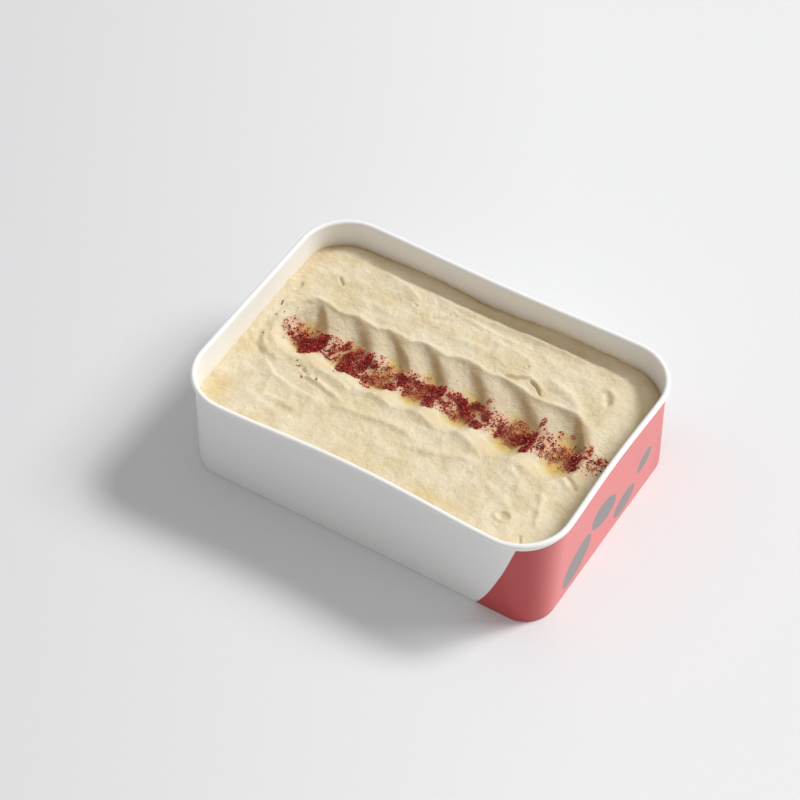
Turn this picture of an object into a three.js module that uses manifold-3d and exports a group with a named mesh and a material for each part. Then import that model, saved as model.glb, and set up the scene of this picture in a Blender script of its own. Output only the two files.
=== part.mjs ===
// A rectangular takeaway tub filled with hummus, dressed with sumac and pools of olive oil.
// Millimetres, +Z up. The origin is the middle of the tub's foot, +X runs along the tub
// and +Y points to its back.
import * as THREE from 'three';
import { mergeVertices } from 'three/addons/utils/BufferGeometryUtils.js';
import Module from 'manifold-3d';

// Tub: outside sizes over the rolled rim and at the foot, the bead's corners in half turns
const RIM_LENGTH = 172;
const RIM_WIDTH = 119;
const TUB_HEIGHT = 50;
const RIM_CORNER_RADIUS = 22.5;
const FOOT_LENGTH = 166;
const FOOT_WIDTH = 110.5;
const FOOT_CORNER_RADIUS = 13;
const WALL = 0.8;
const FLOOR = 1.2;
const BEAD_RADIUS = 1.22;
const BEAD_ANGLES = [-0.6, -0.3, 0, 0.25, 0.5, 0.75, 1];
const FOOT_RING_WIDTH = 5;
const FOOT_RECESS = 1.2;
const FOOT_CHAMFER = 0.5;
const FLOOR_FILLET = 2.4;
const CORNER_STEPS = 7;
const LONG_SIDE_STEPS = 7;
const SHORT_SIDE_STEPS = 4;

// Sides pulled inwards at the middle of the rim, and the share of it left at the foot
const BOW = { right: 0.8, back: 1, left: 0, front: 2.5 };
const BOW_AT_FOOT = 0.15;

// Clear gap between neighbouring solids, and how much more upright it is on a slope
const GAP = 0.3;
const GAP_ON_SLOPE = 1.2;

// Hummus: the level of the spread surface and how it meets the walls
const SURFACE_LEVEL = 38.6;
const LEFT_DROP = 2;
const LEFT_DROP_TILT = 0.043;
const LEFT_DROP_FROM = -58;
const RIGHT_DROP = 3.2;
const RIGHT_DROP_FROM = 62;
const SMEAR_FROM_Y = 46;
const SMEAR_RISE = 0.6;
const SMEAR_LEFT = [-74, 24];
const SMEAR_RIGHT = [54, 76];
const WAVE_HEIGHT = 0.3;

// Row of overlapping spoon dents along the tub, from left to right
const DENTS = [
  { x: -60, reachLeft: 14.5, floor: 34, oilDepth: 1.1 },
  { x: -40, reachLeft: 17, floor: 33.8, oilDepth: 1.1 },
  { x: -22.5, reachLeft: 16, floor: 33.6, oilDepth: 1.5 },
  { x: -5, reachLeft: 16, floor: 33.8, oilDepth: 1.35 },
  { x: 16.5, reachLeft: 18, floor: 33.7, oilDepth: 1.4 },
  { x: 40, reachLeft: 19, floor: 33.6, oilDepth: 1.55 },
  { x: 62.5, reachLeft: 18, floor: 33.8, oilDepth: 1.55 },
];
const DENT_REACH_RIGHT = 8.5;
const DENT_REACH_LEFT_LEAST = 6;
const DENT_REACH_BACK = 17;
const DENT_REACH_FRONT = 14.8;
const DENT_MIDDLE_Y = 2;
const DENT_DEPTH = 4.7;
const DENT_POWERS = { left: 1.5, right: 2.2, back: 2.4, front: 3.4 };
const DENT_CURVE_FROM_Y = 5.5;
const DENT_CURVE = { back: 0.07, front: 0.008 };

// Groove that the dents were pressed into, and the lips pushed up beside it
const GROOVE_DEPTH = 3.2;
const GROOVE_ENDS = [-66, 56];
const GROOVE_END_REACH = 8;
const GROOVE_REACH_FRONT = 11;
const LIP_HEIGHT_BACK = 0.5;
const LIP_HEIGHT_FRONT = 0.9;
const LIP_SPREAD = 2.6;
const LIP_ROUNDING = 0.9;
const RIDGE_ROUNDING = 0.6;

// Bed of sumac along the groove: its middle line as x and y, and its heaps along x
const BED_PATH = [[-66, -3.4], [-45, -3.6], [-24, -0.6], [-4, 0], [12, 2.6], [26, 1.6], [44, -0.3],
  [58, 0.6], [78, 4]];
const BED_ENDS = [-70, -62, 70, 80];
const BED_HALF_WIDTH = 5.8;
const BED_THICKNESS = 1.3;
const HEAP_PLACES = [-56, -35, -12, 4, 12, 24, 45, 67];
const HEAP_RADIUS = 7;
const HEAP_THICKNESS = 0.5;

// Oil pools: the most they reach from a dent's middle, and the first with one before the bed
const OIL_HALF_LENGTH = 10;
const OIL_HALF_WIDTH = 14;
const OIL_FRONT_FIRST_DENT = 2;
const OIL_SIDES = 32;

// Sumac flakes that stand out of the bed
const FLAKE_COUNT = 104;
const FLAKE_SIZE = [0.65, 1.05];
const FLAKE_FLATNESS = 0.6;
const FLAKE_REACH = 7.5;
const FLAKE_CLEARANCE = 0.5;
const FLAKE_SPACING = 2.1;
const FLAKE_SEED = 29;

// Grid of the hummus surface: fine along the groove, coarse beside it
const GRID_STEP_X = 2.6;
const GRID_STEP_Y = 2.5;
const GRID_COARSE_STEP_Y = 5.2;
const GRID_MARGIN = 2;

const wasm = await Module();
wasm.setup();

function mulberry(seed) {
  let state = seed;
  return () => {
    state = (state + 0x6d2b79f5) | 0;
    let t = Math.imul(state ^ (state >>> 15), 1 | state);
    t = (t + Math.imul(t ^ (t >>> 7), 61 | t)) ^ t;
    return ((t ^ (t >>> 14)) >>> 0) / 4294967296;
  };
}

const lerp = (a, b, t) => a + (b - a) * t;

function smoothStep(from, to, value) {
  const t = THREE.MathUtils.clamp((value - from) / (to - from), 0, 1);
  return t * t * (3 - 2 * t);
}

// The lower of two heights, with the edge between them rounded over a height k
function smoothMin(a, b, k) {
  const overlap = Math.max(k - Math.abs(a - b), 0) / k;
  return Math.min(a, b) - overlap * overlap * k / 4;
}

// Conversion between a three.js geometry and a solid that can be joined and cut
function toSolid(geometry) {
  const bare = geometry.clone();
  bare.deleteAttribute('normal');
  bare.deleteAttribute('uv');
  const merged = mergeVertices(bare, 1e-4);
  const vertProperties = new Float32Array(merged.attributes.position.array);
  const triVerts = new Uint32Array(merged.index.array);
  return new wasm.Manifold(new wasm.Mesh({ numProp: 3, vertProperties, triVerts }));
}

function toGeometry(solid) {
  const { vertProperties, triVerts } = solid.getMesh();
  return indexedGeometry(vertProperties, triVerts);
}

function indexedGeometry(positions, indices) {
  const geometry = new THREE.BufferGeometry();
  geometry.setAttribute('position', new THREE.BufferAttribute(new Float32Array(positions), 3));
  geometry.setIndex(new THREE.BufferAttribute(new Uint32Array(indices), 1));
  geometry.computeVertexNormals();
  return geometry;
}

// The tub's outer wall at a height: half sizes, corner radius and share of the bow
function wallAt(z) {
  const t = z / TUB_HEIGHT;
  const overhang = 2 * BEAD_RADIUS - WALL;
  return {
    halfLength: lerp(FOOT_LENGTH / 2, RIM_LENGTH / 2 - overhang, t),
    halfWidth: lerp(FOOT_WIDTH / 2, RIM_WIDTH / 2 - overhang, t),
    radius: lerp(FOOT_CORNER_RADIUS, RIM_CORNER_RADIUS - overhang, t),
    bow: lerp(BOW_AT_FOOT, 1, t),
  };
}

// Rounded rectangle with bowed sides, anticlockwise, at a height and an offset from the wall
function wallRing(z, offset) {
  const wall = wallAt(z);
  const radius = wall.radius + offset;
  const straightX = wall.halfLength - wall.radius;
  const straightY = wall.halfWidth - wall.radius;
  const outX = wall.halfLength + offset;
  const outY = wall.halfWidth + offset;
  const points = [];
  const sides = [
    { bow: BOW.right, steps: SHORT_SIDE_STEPS, half: straightY, at: (s, d) => [outX - d, s] },
    { bow: BOW.back, steps: LONG_SIDE_STEPS, half: straightX, at: (s, d) => [-s, outY - d] },
    { bow: BOW.left, steps: SHORT_SIDE_STEPS, half: straightY, at: (s, d) => [-outX + d, -s] },
    { bow: BOW.front, steps: LONG_SIDE_STEPS, half: straightX, at: (s, d) => [s, -outY + d] },
  ];
  const corners = [[straightX, straightY], [-straightX, straightY], [-straightX, -straightY],
    [straightX, -straightY]];
  sides.forEach((side, index) => {
    for (let i = 0; i < side.steps; i += 1) {
      const t = 2 * i / side.steps - 1;
      const depth = side.bow * wall.bow * (1 - t * t) ** 2;
      points.push(side.at(t * side.half, depth));
    }
    const [cornerX, cornerY] = corners[index];
    for (let i = 0; i < CORNER_STEPS; i += 1) {
      const angle = (index + i / CORNER_STEPS) * Math.PI / 2;
      points.push([cornerX + radius * Math.cos(angle), cornerY + radius * Math.sin(angle)]);
    }
  });
  return points.map(([x, y]) => [x, y, z]);
}

// Closed skin through a list of rings, capped at both ends by a fan round its own middle.
// The diagonals rise the same way on every skin, so that nested skins stay parallel.
function loft(rings) {
  const count = rings[0].length;
  const positions = rings.flat(2);
  const indices = [];
  for (let k = 0; k + 1 < rings.length; k += 1) {
    const isRising = rings[k + 1][0][2] >= rings[k][0][2];
    for (let i = 0; i < count; i += 1) {
      const next = (i + 1) % count;
      const a = k * count + i;
      const b = k * count + next;
      const c = (k + 1) * count + next;
      const d = (k + 1) * count + i;
      indices.push(...(isRising ? [a, b, c, a, c, d] : [a, b, d, b, c, d]));
    }
  }
  const last = (rings.length - 1) * count;
  const firstMiddle = positions.length / 3;
  positions.push(0, 0, rings[0][0][2], 0, 0, rings[rings.length - 1][0][2]);
  for (let i = 0; i < count; i += 1) {
    const next = (i + 1) % count;
    indices.push(firstMiddle, next, i);
    indices.push(firstMiddle + 1, last + i, last + next);
  }
  return indexedGeometry(positions, indices);
}

// Tub: recessed foot, tapering wall, rolled rim and filleted floor, as one skin
function tubGeometry() {
  const profile = [
    [FOOT_RECESS, -FOOT_RING_WIDTH],
    [0, -FOOT_RING_WIDTH],
    [0, -FOOT_CHAMFER],
    [FOOT_CHAMFER, 0],
  ];
  const beadZ = TUB_HEIGHT - BEAD_RADIUS;
  const beadOffset = BEAD_RADIUS - WALL;
  BEAD_ANGLES.forEach((turn) => {
    const angle = turn * Math.PI;
    profile.push([beadZ + BEAD_RADIUS * Math.sin(angle), beadOffset + BEAD_RADIUS * Math.cos(angle)]);
  });
  const floorTop = FOOT_RECESS + FLOOR;
  profile.push(
    [floorTop + FLOOR_FILLET, -WALL],
    [floorTop + FLOOR_FILLET * 0.3, -WALL - FLOOR_FILLET * 0.3],
    [floorTop, -WALL - FLOOR_FILLET],
  );
  return loft(profile.map(([z, offset]) => wallRing(z, offset)));
}

// Free inside of the tub, a gap clear of its wall and floor
function insideGeometry() {
  const floorTop = FOOT_RECESS + FLOOR + GAP;
  return loft([
    wallRing(floorTop, -WALL - GAP - FLOOR_FILLET),
    wallRing(floorTop + FLOOR_FILLET, -WALL - GAP),
    wallRing(TUB_HEIGHT - 2 * BEAD_RADIUS, -WALL - GAP),
  ]);
}

// Spread surface without the groove: slow waves, drops at the ends, smear up the back wall
function spreadSurface(x, y) {
  const waves = Math.sin(x / 17 + 0.6) * Math.cos(y / 13 - 0.4) + 0.6 * Math.sin(x / 31 - y / 22);
  const leftDrop = LEFT_DROP - LEFT_DROP_TILT * y;
  const smear = smoothStep(...SMEAR_LEFT, x) * (1 - smoothStep(...SMEAR_RIGHT, x));
  const backWall = wallAt(SURFACE_LEVEL).halfWidth;
  const climb = THREE.MathUtils.clamp((y - SMEAR_FROM_Y) / (backWall - SMEAR_FROM_Y), 0, 1);
  return SURFACE_LEVEL + WAVE_HEIGHT * waves
    - leftDrop * (1 - smoothStep(-RIM_LENGTH / 2, LEFT_DROP_FROM, x))
    - RIGHT_DROP * smoothStep(RIGHT_DROP_FROM, RIM_LENGTH / 2, x)
    + SMEAR_RISE * smear * climb * climb;
}

// Where a point lies across the row, its edges being at plus and minus one
function acrossRow(y, reachFront) {
  const away = y - DENT_MIDDLE_Y;
  return away / (away > 0 ? DENT_REACH_BACK : reachFront);
}

// How far the dents sweep to the left at a place across the row
function dentSweep(y) {
  const away = y - DENT_CURVE_FROM_Y;
  return (away > 0 ? DENT_CURVE.back : DENT_CURVE.front) * away ** 2;
}

function dentSurface(dent, x, y) {
  const sweep = dentSweep(y);
  const along = x + sweep - dent.x;
  const across = acrossRow(y, DENT_REACH_FRONT);
  const reachLeft = Math.max(dent.reachLeft - sweep, DENT_REACH_LEFT_LEAST);
  const riseAlong = along > 0
    ? (along / DENT_REACH_RIGHT) ** DENT_POWERS.right
    : (-along / reachLeft) ** DENT_POWERS.left;
  const riseAcross = Math.abs(across) ** (across > 0 ? DENT_POWERS.back : DENT_POWERS.front);
  return dent.floor + DENT_DEPTH * (riseAlong + riseAcross);
}

function grooveSurface(x, y) {
  const pastEnd = Math.max(GROOVE_ENDS[0] - x, x - GROOVE_ENDS[1], 0) / GROOVE_END_REACH;
  const away = Math.hypot(pastEnd, acrossRow(y, GROOVE_REACH_FRONT));
  return SURFACE_LEVEL - GROOVE_DEPTH + GROOVE_DEPTH * away ** 3;
}

// Ridge of hummus pushed up along both sides of the groove
function lipHeight(x, y) {
  const fade = smoothStep(GROOVE_ENDS[0] - GROOVE_END_REACH, GROOVE_ENDS[0], x)
    * (1 - smoothStep(GROOVE_ENDS[1], GROOVE_ENDS[1] + GROOVE_END_REACH, x));
  const bell = (lipY) => Math.exp(-(((y - lipY) / LIP_SPREAD) ** 2));
  return fade * (LIP_HEIGHT_BACK * bell(DENT_MIDDLE_Y + DENT_REACH_BACK)
    + LIP_HEIGHT_FRONT * bell(DENT_MIDDLE_Y - DENT_REACH_FRONT));
}

// Middle line of the bed of sumac, eased from one point of its path to the next
function bedMiddle(x) {
  const last = BED_PATH.length - 2;
  const found = BED_PATH.findIndex(([nextX], k) => k > 0 && x < nextX) - 1;
  const k = found < 0 ? last : found;
  const [[fromX, fromY], [toX, toY]] = [BED_PATH[k], BED_PATH[k + 1]];
  return lerp(fromY, toY, smoothStep(fromX, toX, x));
}

function bedHeight(x, y) {
  const away = (y - bedMiddle(x)) / BED_HALF_WIDTH;
  if (Math.abs(away) >= 1) return 0;
  const [start, full, thin, end] = BED_ENDS;
  const ends = smoothStep(start, full, x) * (1 - smoothStep(thin, end, x));
  const heaps = HEAP_PLACES.map((place) => Math.max(1 - ((x - place) / HEAP_RADIUS) ** 2, 0));
  return ends * (BED_THICKNESS + HEAP_THICKNESS * Math.max(...heaps)) * (1 - away * away) ** 2;
}

// Height of the hummus, with its dents and the bed of sumac
function surface(x, y) {
  const pressed = DENTS.map((dent) => dentSurface(dent, x, y))
    .reduce((a, b) => smoothMin(a, b, RIDGE_ROUNDING));
  const groove = smoothMin(pressed, grooveSurface(x, y), LIP_ROUNDING);
  return smoothMin(spreadSurface(x, y) + lipHeight(x, y), groove, LIP_ROUNDING) + bedHeight(x, y);
}

// Grid lines from low to high, at one step between two limits and at another outside them
function gridLines(low, high, step, fineLow, fineHigh, coarseStep) {
  const stretch = (from, to, size) => {
    const count = Math.max(Math.round((to - from) / size), 1);
    return Array.from({ length: count }, (_, i) => lerp(from, to, i / count));
  };
  return [
    ...stretch(low, fineLow, coarseStep),
    ...stretch(fineLow, fineHigh, step),
    ...stretch(fineHigh, high, coarseStep),
    high,
  ];
}

// Block under the hummus surface, wider than the tub; lift raises its top
function surfaceBlock(lift) {
  const endX = RIM_LENGTH / 2 + GRID_MARGIN;
  const endY = RIM_WIDTH / 2 + GRID_MARGIN;
  const grooveLow = DENT_MIDDLE_Y - DENT_REACH_FRONT - LIP_SPREAD;
  const grooveHigh = DENT_MIDDLE_Y + DENT_REACH_BACK + LIP_SPREAD;
  const xs = gridLines(-endX, endX, GRID_STEP_X, -endX + GRID_MARGIN, endX - GRID_MARGIN, GRID_STEP_X);
  const ys = gridLines(-endY, endY, GRID_STEP_Y, grooveLow, grooveHigh, GRID_COARSE_STEP_Y);
  const top = ys.flatMap((y) => xs.flatMap((x) => [x, y, surface(x, y) + lift]));
  const bottom = ys.flatMap((y) => xs.flatMap((x) => [x, y, 0]));
  const row = xs.length;
  const size = row * ys.length;
  const indices = [];
  for (let j = 0; j + 1 < ys.length; j += 1) {
    for (let i = 0; i + 1 < row; i += 1) {
      const a = j * row + i;
      const b = a + 1;
      const c = b + row;
      const d = a + row;
      indices.push(a, b, c, a, c, d);
      indices.push(size + a, size + c, size + b, size + a, size + d, size + c);
    }
  }
  const edge = [];
  for (let i = 0; i + 1 < row; i += 1) edge.push(i);
  for (let j = 0; j + 1 < ys.length; j += 1) edge.push(j * row + row - 1);
  for (let i = row - 1; i > 0; i -= 1) edge.push((ys.length - 1) * row + i);
  for (let j = ys.length - 1; j > 0; j -= 1) edge.push(j * row);
  edge.forEach((a, k) => {
    const b = edge[(k + 1) % edge.length];
    indices.push(a, size + a, size + b, a, size + b, b);
  });
  return indexedGeometry([...top, ...bottom], indices);
}

function largest(pieces) {
  return pieces.reduce((best, piece) => (piece.volume() > best.volume() ? piece : best));
}

const oilLevel = (dent) => dent.floor + dent.oilDepth;

function isInDent(dent, x, y, margin) {
  const halfLength = OIL_HALF_LENGTH + margin;
  const halfWidth = OIL_HALF_WIDTH + margin;
  return Math.hypot((x - dent.x) / halfLength, (y - DENT_MIDDLE_Y) / halfWidth) < 1;
}

// Whether oil stands within a margin of a point
function isWet(x, y, margin) {
  const directions = [[0, 0], [1, 0], [-1, 0], [0, 1], [0, -1]];
  return DENTS.some((dent) => directions.some(([stepX, stepY]) => {
    const [atX, atY] = [x + stepX * margin, y + stepY * margin];
    return isInDent(dent, atX, atY, 0) && surface(atX, atY) < oilLevel(dent);
  }));
}

// Pools of one dent, behind and in front of the bed: flat on top, a gap above the hummus
function oilSolids(dent, number, liftedHummus) {
  const slab = new THREE.CylinderGeometry(1, 1, DENT_DEPTH, OIL_SIDES);
  slab.rotateX(Math.PI / 2);
  slab.scale(OIL_HALF_LENGTH, OIL_HALF_WIDTH, 1);
  slab.translate(dent.x, DENT_MIDDLE_Y, oilLevel(dent) - DENT_DEPTH / 2);
  const pieces = toSolid(slab).subtract(liftedHummus).decompose();
  const isBehind = (piece) => {
    const { min, max } = piece.boundingBox();
    return (min[1] + max[1]) / 2 > bedMiddle(dent.x);
  };
  const found = [{ name: `oil_back_${number + 1}`, solid: largest(pieces.filter(isBehind)) }];
  if (number >= OIL_FRONT_FIRST_DENT) {
    const front = pieces.filter((piece) => !isBehind(piece));
    found.push({ name: `oil_front_${number + 1}`, solid: largest(front) });
  }
  return found;
}

// Places for the flakes: dry ground on and beside the bed, evenly apart
function flakePlaces() {
  const random = mulberry(FLAKE_SEED);
  const places = [];
  while (places.length < FLAKE_COUNT) {
    const x = lerp(BED_ENDS[0], BED_ENDS[3], random());
    const y = bedMiddle(x) + FLAKE_REACH * (random() + random() - 1);
    const size = lerp(...FLAKE_SIZE, random());
    const turn = new THREE.Euler(random() * Math.PI, random() * Math.PI, random() * Math.PI);
    const crowded = places.some((place) => Math.hypot(place.x - x, place.y - y) < FLAKE_SPACING);
    if (!crowded && !isWet(x, y, size + FLAKE_CLEARANCE)) places.push({ x, y, size, turn });
  }
  return places;
}

function flakeSolid(place) {
  const flake = new THREE.IcosahedronGeometry(place.size, 0);
  flake.scale(1, FLAKE_FLATNESS, 1 / (1 + FLAKE_FLATNESS));
  flake.applyMatrix4(new THREE.Matrix4().makeRotationFromEuler(place.turn));
  flake.translate(place.x, place.y, surface(place.x, place.y));
  return toSolid(flake);
}

const materials = {
  tub: new THREE.MeshStandardMaterial({ color: 0xf4f2ee, roughness: 0.45, metalness: 0 }),
  hummus: new THREE.MeshStandardMaterial({ color: 0xecdcb8, roughness: 0.55, metalness: 0 }),
  oil: new THREE.MeshStandardMaterial({ color: 0xe0bf5e, roughness: 0.08, metalness: 0 }),
};

function namedMesh(name, geometry, material) {
  const mesh = new THREE.Mesh(geometry, material.clone());
  mesh.name = name;
  return mesh;
}

const bare = toSolid(surfaceBlock(0)).intersect(toSolid(insideGeometry()));
const dressed = flakePlaces().map(flakeSolid).reduce((whole, flake) => whole.add(flake), bare);
const filling = largest(dressed.decompose());
const liftedHummus = toSolid(surfaceBlock(GAP * GAP_ON_SLOPE));

const model = new THREE.Group();
model.add(namedMesh('tub', tubGeometry(), materials.tub));
model.add(namedMesh('hummus', toGeometry(filling), materials.hummus));
DENTS.flatMap((dent, number) => oilSolids(dent, number, liftedHummus)).forEach(({ name, solid }) => {
  model.add(namedMesh(name, toGeometry(solid), materials.oil));
});

export default model;
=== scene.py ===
import itertools
import math

import bpy
import numpy as np
from mathutils import Matrix, Vector


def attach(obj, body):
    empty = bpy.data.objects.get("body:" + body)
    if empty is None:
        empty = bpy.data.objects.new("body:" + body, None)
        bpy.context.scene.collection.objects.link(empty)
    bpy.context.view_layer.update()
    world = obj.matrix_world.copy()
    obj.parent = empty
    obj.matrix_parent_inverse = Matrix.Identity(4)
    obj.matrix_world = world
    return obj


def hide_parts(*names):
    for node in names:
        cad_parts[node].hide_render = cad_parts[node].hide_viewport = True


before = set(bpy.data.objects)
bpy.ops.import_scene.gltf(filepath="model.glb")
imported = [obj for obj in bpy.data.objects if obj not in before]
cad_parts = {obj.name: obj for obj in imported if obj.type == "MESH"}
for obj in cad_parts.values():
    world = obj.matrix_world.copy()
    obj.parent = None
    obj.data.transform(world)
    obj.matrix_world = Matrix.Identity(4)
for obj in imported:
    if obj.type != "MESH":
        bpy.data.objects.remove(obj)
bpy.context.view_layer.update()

# All shapes are worked out in millimetres and scaled to metres when a mesh is made
MM = 0.001

# Tub: outside sizes over the rolled rim and at the foot
RIM_LENGTH = 172.0
RIM_WIDTH = 119.0
TUB_HEIGHT = 50.0
RIM_CORNER_RADIUS = 22.5
FOOT_LENGTH = 166.0
FOOT_WIDTH = 110.5
FOOT_CORNER_RADIUS = 13.0
WALL = 0.8
FLOOR = 1.2
BEAD_RADIUS = 1.22
OVERHANG = 2 * BEAD_RADIUS - WALL
FOOT_RING_WIDTH = 5.0
FOOT_RECESS = 1.2
FOOT_ROUNDING = 0.6
FLOOR_FILLET = 2.4
BOW_RIGHT = 0.8
BOW_BACK = 1.0
BOW_LEFT = 0.0
BOW_FRONT = 2.5
BOW_AT_FOOT = 0.15
CORNER_STEPS = 26
LONG_SIDE_STEPS = 44
SHORT_SIDE_STEPS = 30
TUB_SIDES = (
    (BOW_RIGHT, SHORT_SIDE_STEPS), (BOW_BACK, LONG_SIDE_STEPS),
    (BOW_LEFT, SHORT_SIDE_STEPS), (BOW_FRONT, LONG_SIDE_STEPS),
)

# Hummus: the level of the spread surface and how it meets the walls
SURFACE_LEVEL = 38.6
LEFT_DROP = 2.0
LEFT_DROP_TILT = 0.043
LEFT_DROP_FROM = -58.0
RIGHT_DROP = 3.2
RIGHT_DROP_FROM = 62.0
SMEAR_FROM_Y = 46.0
SMEAR_RISE = 0.6
SMEAR_LEFT = (-74.0, 24.0)
SMEAR_RIGHT = (54.0, 76.0)
# Slow waves of the surface: a first one across both ways, and a slanting one with a share of its height
WAVE_HEIGHT = 0.3
WAVE_X = 17.0
WAVE_Y = 13.0
WAVE_START_X = 0.6
WAVE_START_Y = -0.4
SLANT_WAVE_X = 31.0
SLANT_WAVE_Y = 22.0
SLANT_WAVE_SHARE = 0.6
# How much higher or lower the hummus touches the back wall than its even line, along x
BACK_CONTACT_PATH = (
    (-84, -1.0), (-76, -3.0), (-66, -3.4), (-56, -3.2), (-47, -2.4), (-38, -1.6), (-28, -1.7), (-18, -2.6),
    (-8, -3.2), (4, -2.4), (16, -1.2), (28, -0.1), (40, -0.7), (50, -1.3), (60, -1.9), (72, -2.6),
)
BACK_CONTACT_WIDTH = 8.0
BACK_CONTACT_FROM_Y = (15.0, 40.0)

# Row of spoon dents: middle, reach to the left, floor height and depth of oil
DENTS = (
    (-60.0, 14.5, 34.0, 1.1),
    (-40.0, 17.0, 33.8, 1.1),
    (-22.5, 16.0, 33.6, 1.5),
    (-5.0, 16.0, 33.8, 1.35),
    (16.5, 18.0, 33.7, 1.4),
    (40.0, 19.0, 33.6, 1.55),
    (62.5, 18.0, 33.8, 1.55),
)
DENT_REACH_RIGHT = 8.5
DENT_REACH_LEFT_LEAST = 6.0
DENT_REACH_FRONT = 14.8
DENT_MIDDLE_Y = 2.0
DENT_DEPTH = 4.7
DENT_POWER_LEFT = 1.5
DENT_POWER_RIGHT = 2.2
DENT_POWER_BACK = 1.7
DENT_POWER_FRONT = 1.15
DENT_FRONT_FROM = 0.5
DENT_CURVE_FROM_Y = 5.5
DENT_CURVE_BACK = 0.07
DENT_CURVE_FRONT = 0.008
# How far the back lip of the row lies behind its middle, along x
BACK_REACH_PATH = (
    (-78, 9), (-72, 14), (-66, 16.6), (-61, 16.8), (-54, 15.6), (-47, 17.5), (-43, 17.2), (-37, 16.2),
    (-31, 18.4), (-27, 18), (-21.5, 17.4), (-15, 19.4), (-11, 19), (-5.5, 17.8), (1, 20.2), (7, 20.6),
    (14.5, 18.9), (21, 20), (27, 19.2), (39, 16.9), (50, 18.4), (57, 18.2), (63, 16), (68, 12.5), (73, 8.5),
)
# How far the groove reaches to the front, as a share of its even reach, along x
FRONT_SHARE_PATH = ((-78, 0.88), (-50, 0.9), (-20, 0.98), (10, 1.0), (35, 1.1), (58, 1.13), (78, 1.0))
# Ridges between the dents: where each starts beside the sumac, and how far it sweeps to the left behind
RIDGES = (
    (-75.5, -0.5), (-51.4, 0.99), (-30.4, 0.86), (-12.4, 1.04),
    (5.2, 0.97), (25.5, 0.92), (49.4, 1.13), (70.8, 0.73),
)
RIDGE_FROM_Y = 6.5
RIDGE_SWEEP = (0.65, 0.027)
# Back of the dents: a steep fall under the lip, a slope and a floor, with the ridges standing out of them
BACK_LIP_TOP = 39.8
LIP_STEEPNESS = 20.0
STEEP_FALL = 1.5
STEEP_FALL_WIDTH = 0.07
BACK_SLOPE_FALL = 7.6
BACK_FLOOR = 33.7
BACK_FLOOR_ROUNDING = 1.0
RIDGE_HEIGHT = 3.0
RIDGE_HEIGHT_EASE = 0.27
DEEPEST_AT = 0.6
LEFT_END_WIDTH = 9.0
RIGHT_END_WIDTH = 6.5
BACK_BLEND = (-1.0, 6.0)

# Groove that the dents were pressed into, and the lips pushed up beside it
GROOVE_DEPTH = 3.2
GROOVE_ENDS = (-66.0, 56.0)
GROOVE_END_REACH = 8.0
GROOVE_REACH_FRONT = 11.0
GROOVE_POWER_BACK = 1.05
GROOVE_POWER_FRONT = 3.0
LIP_HEIGHT_BACK = 1.25
LIP_SPREAD_BEHIND = 1.7
LIP_HEIGHT_FRONT = 0.9
LIP_SPREAD = 2.6
LIP_ROUNDING = 0.9
BACK_LIP_ROUNDING = 0.4
BACK_ROUNDING_FROM_Y = (2.0, 8.0)
RIDGE_ROUNDING = 0.7

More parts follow.
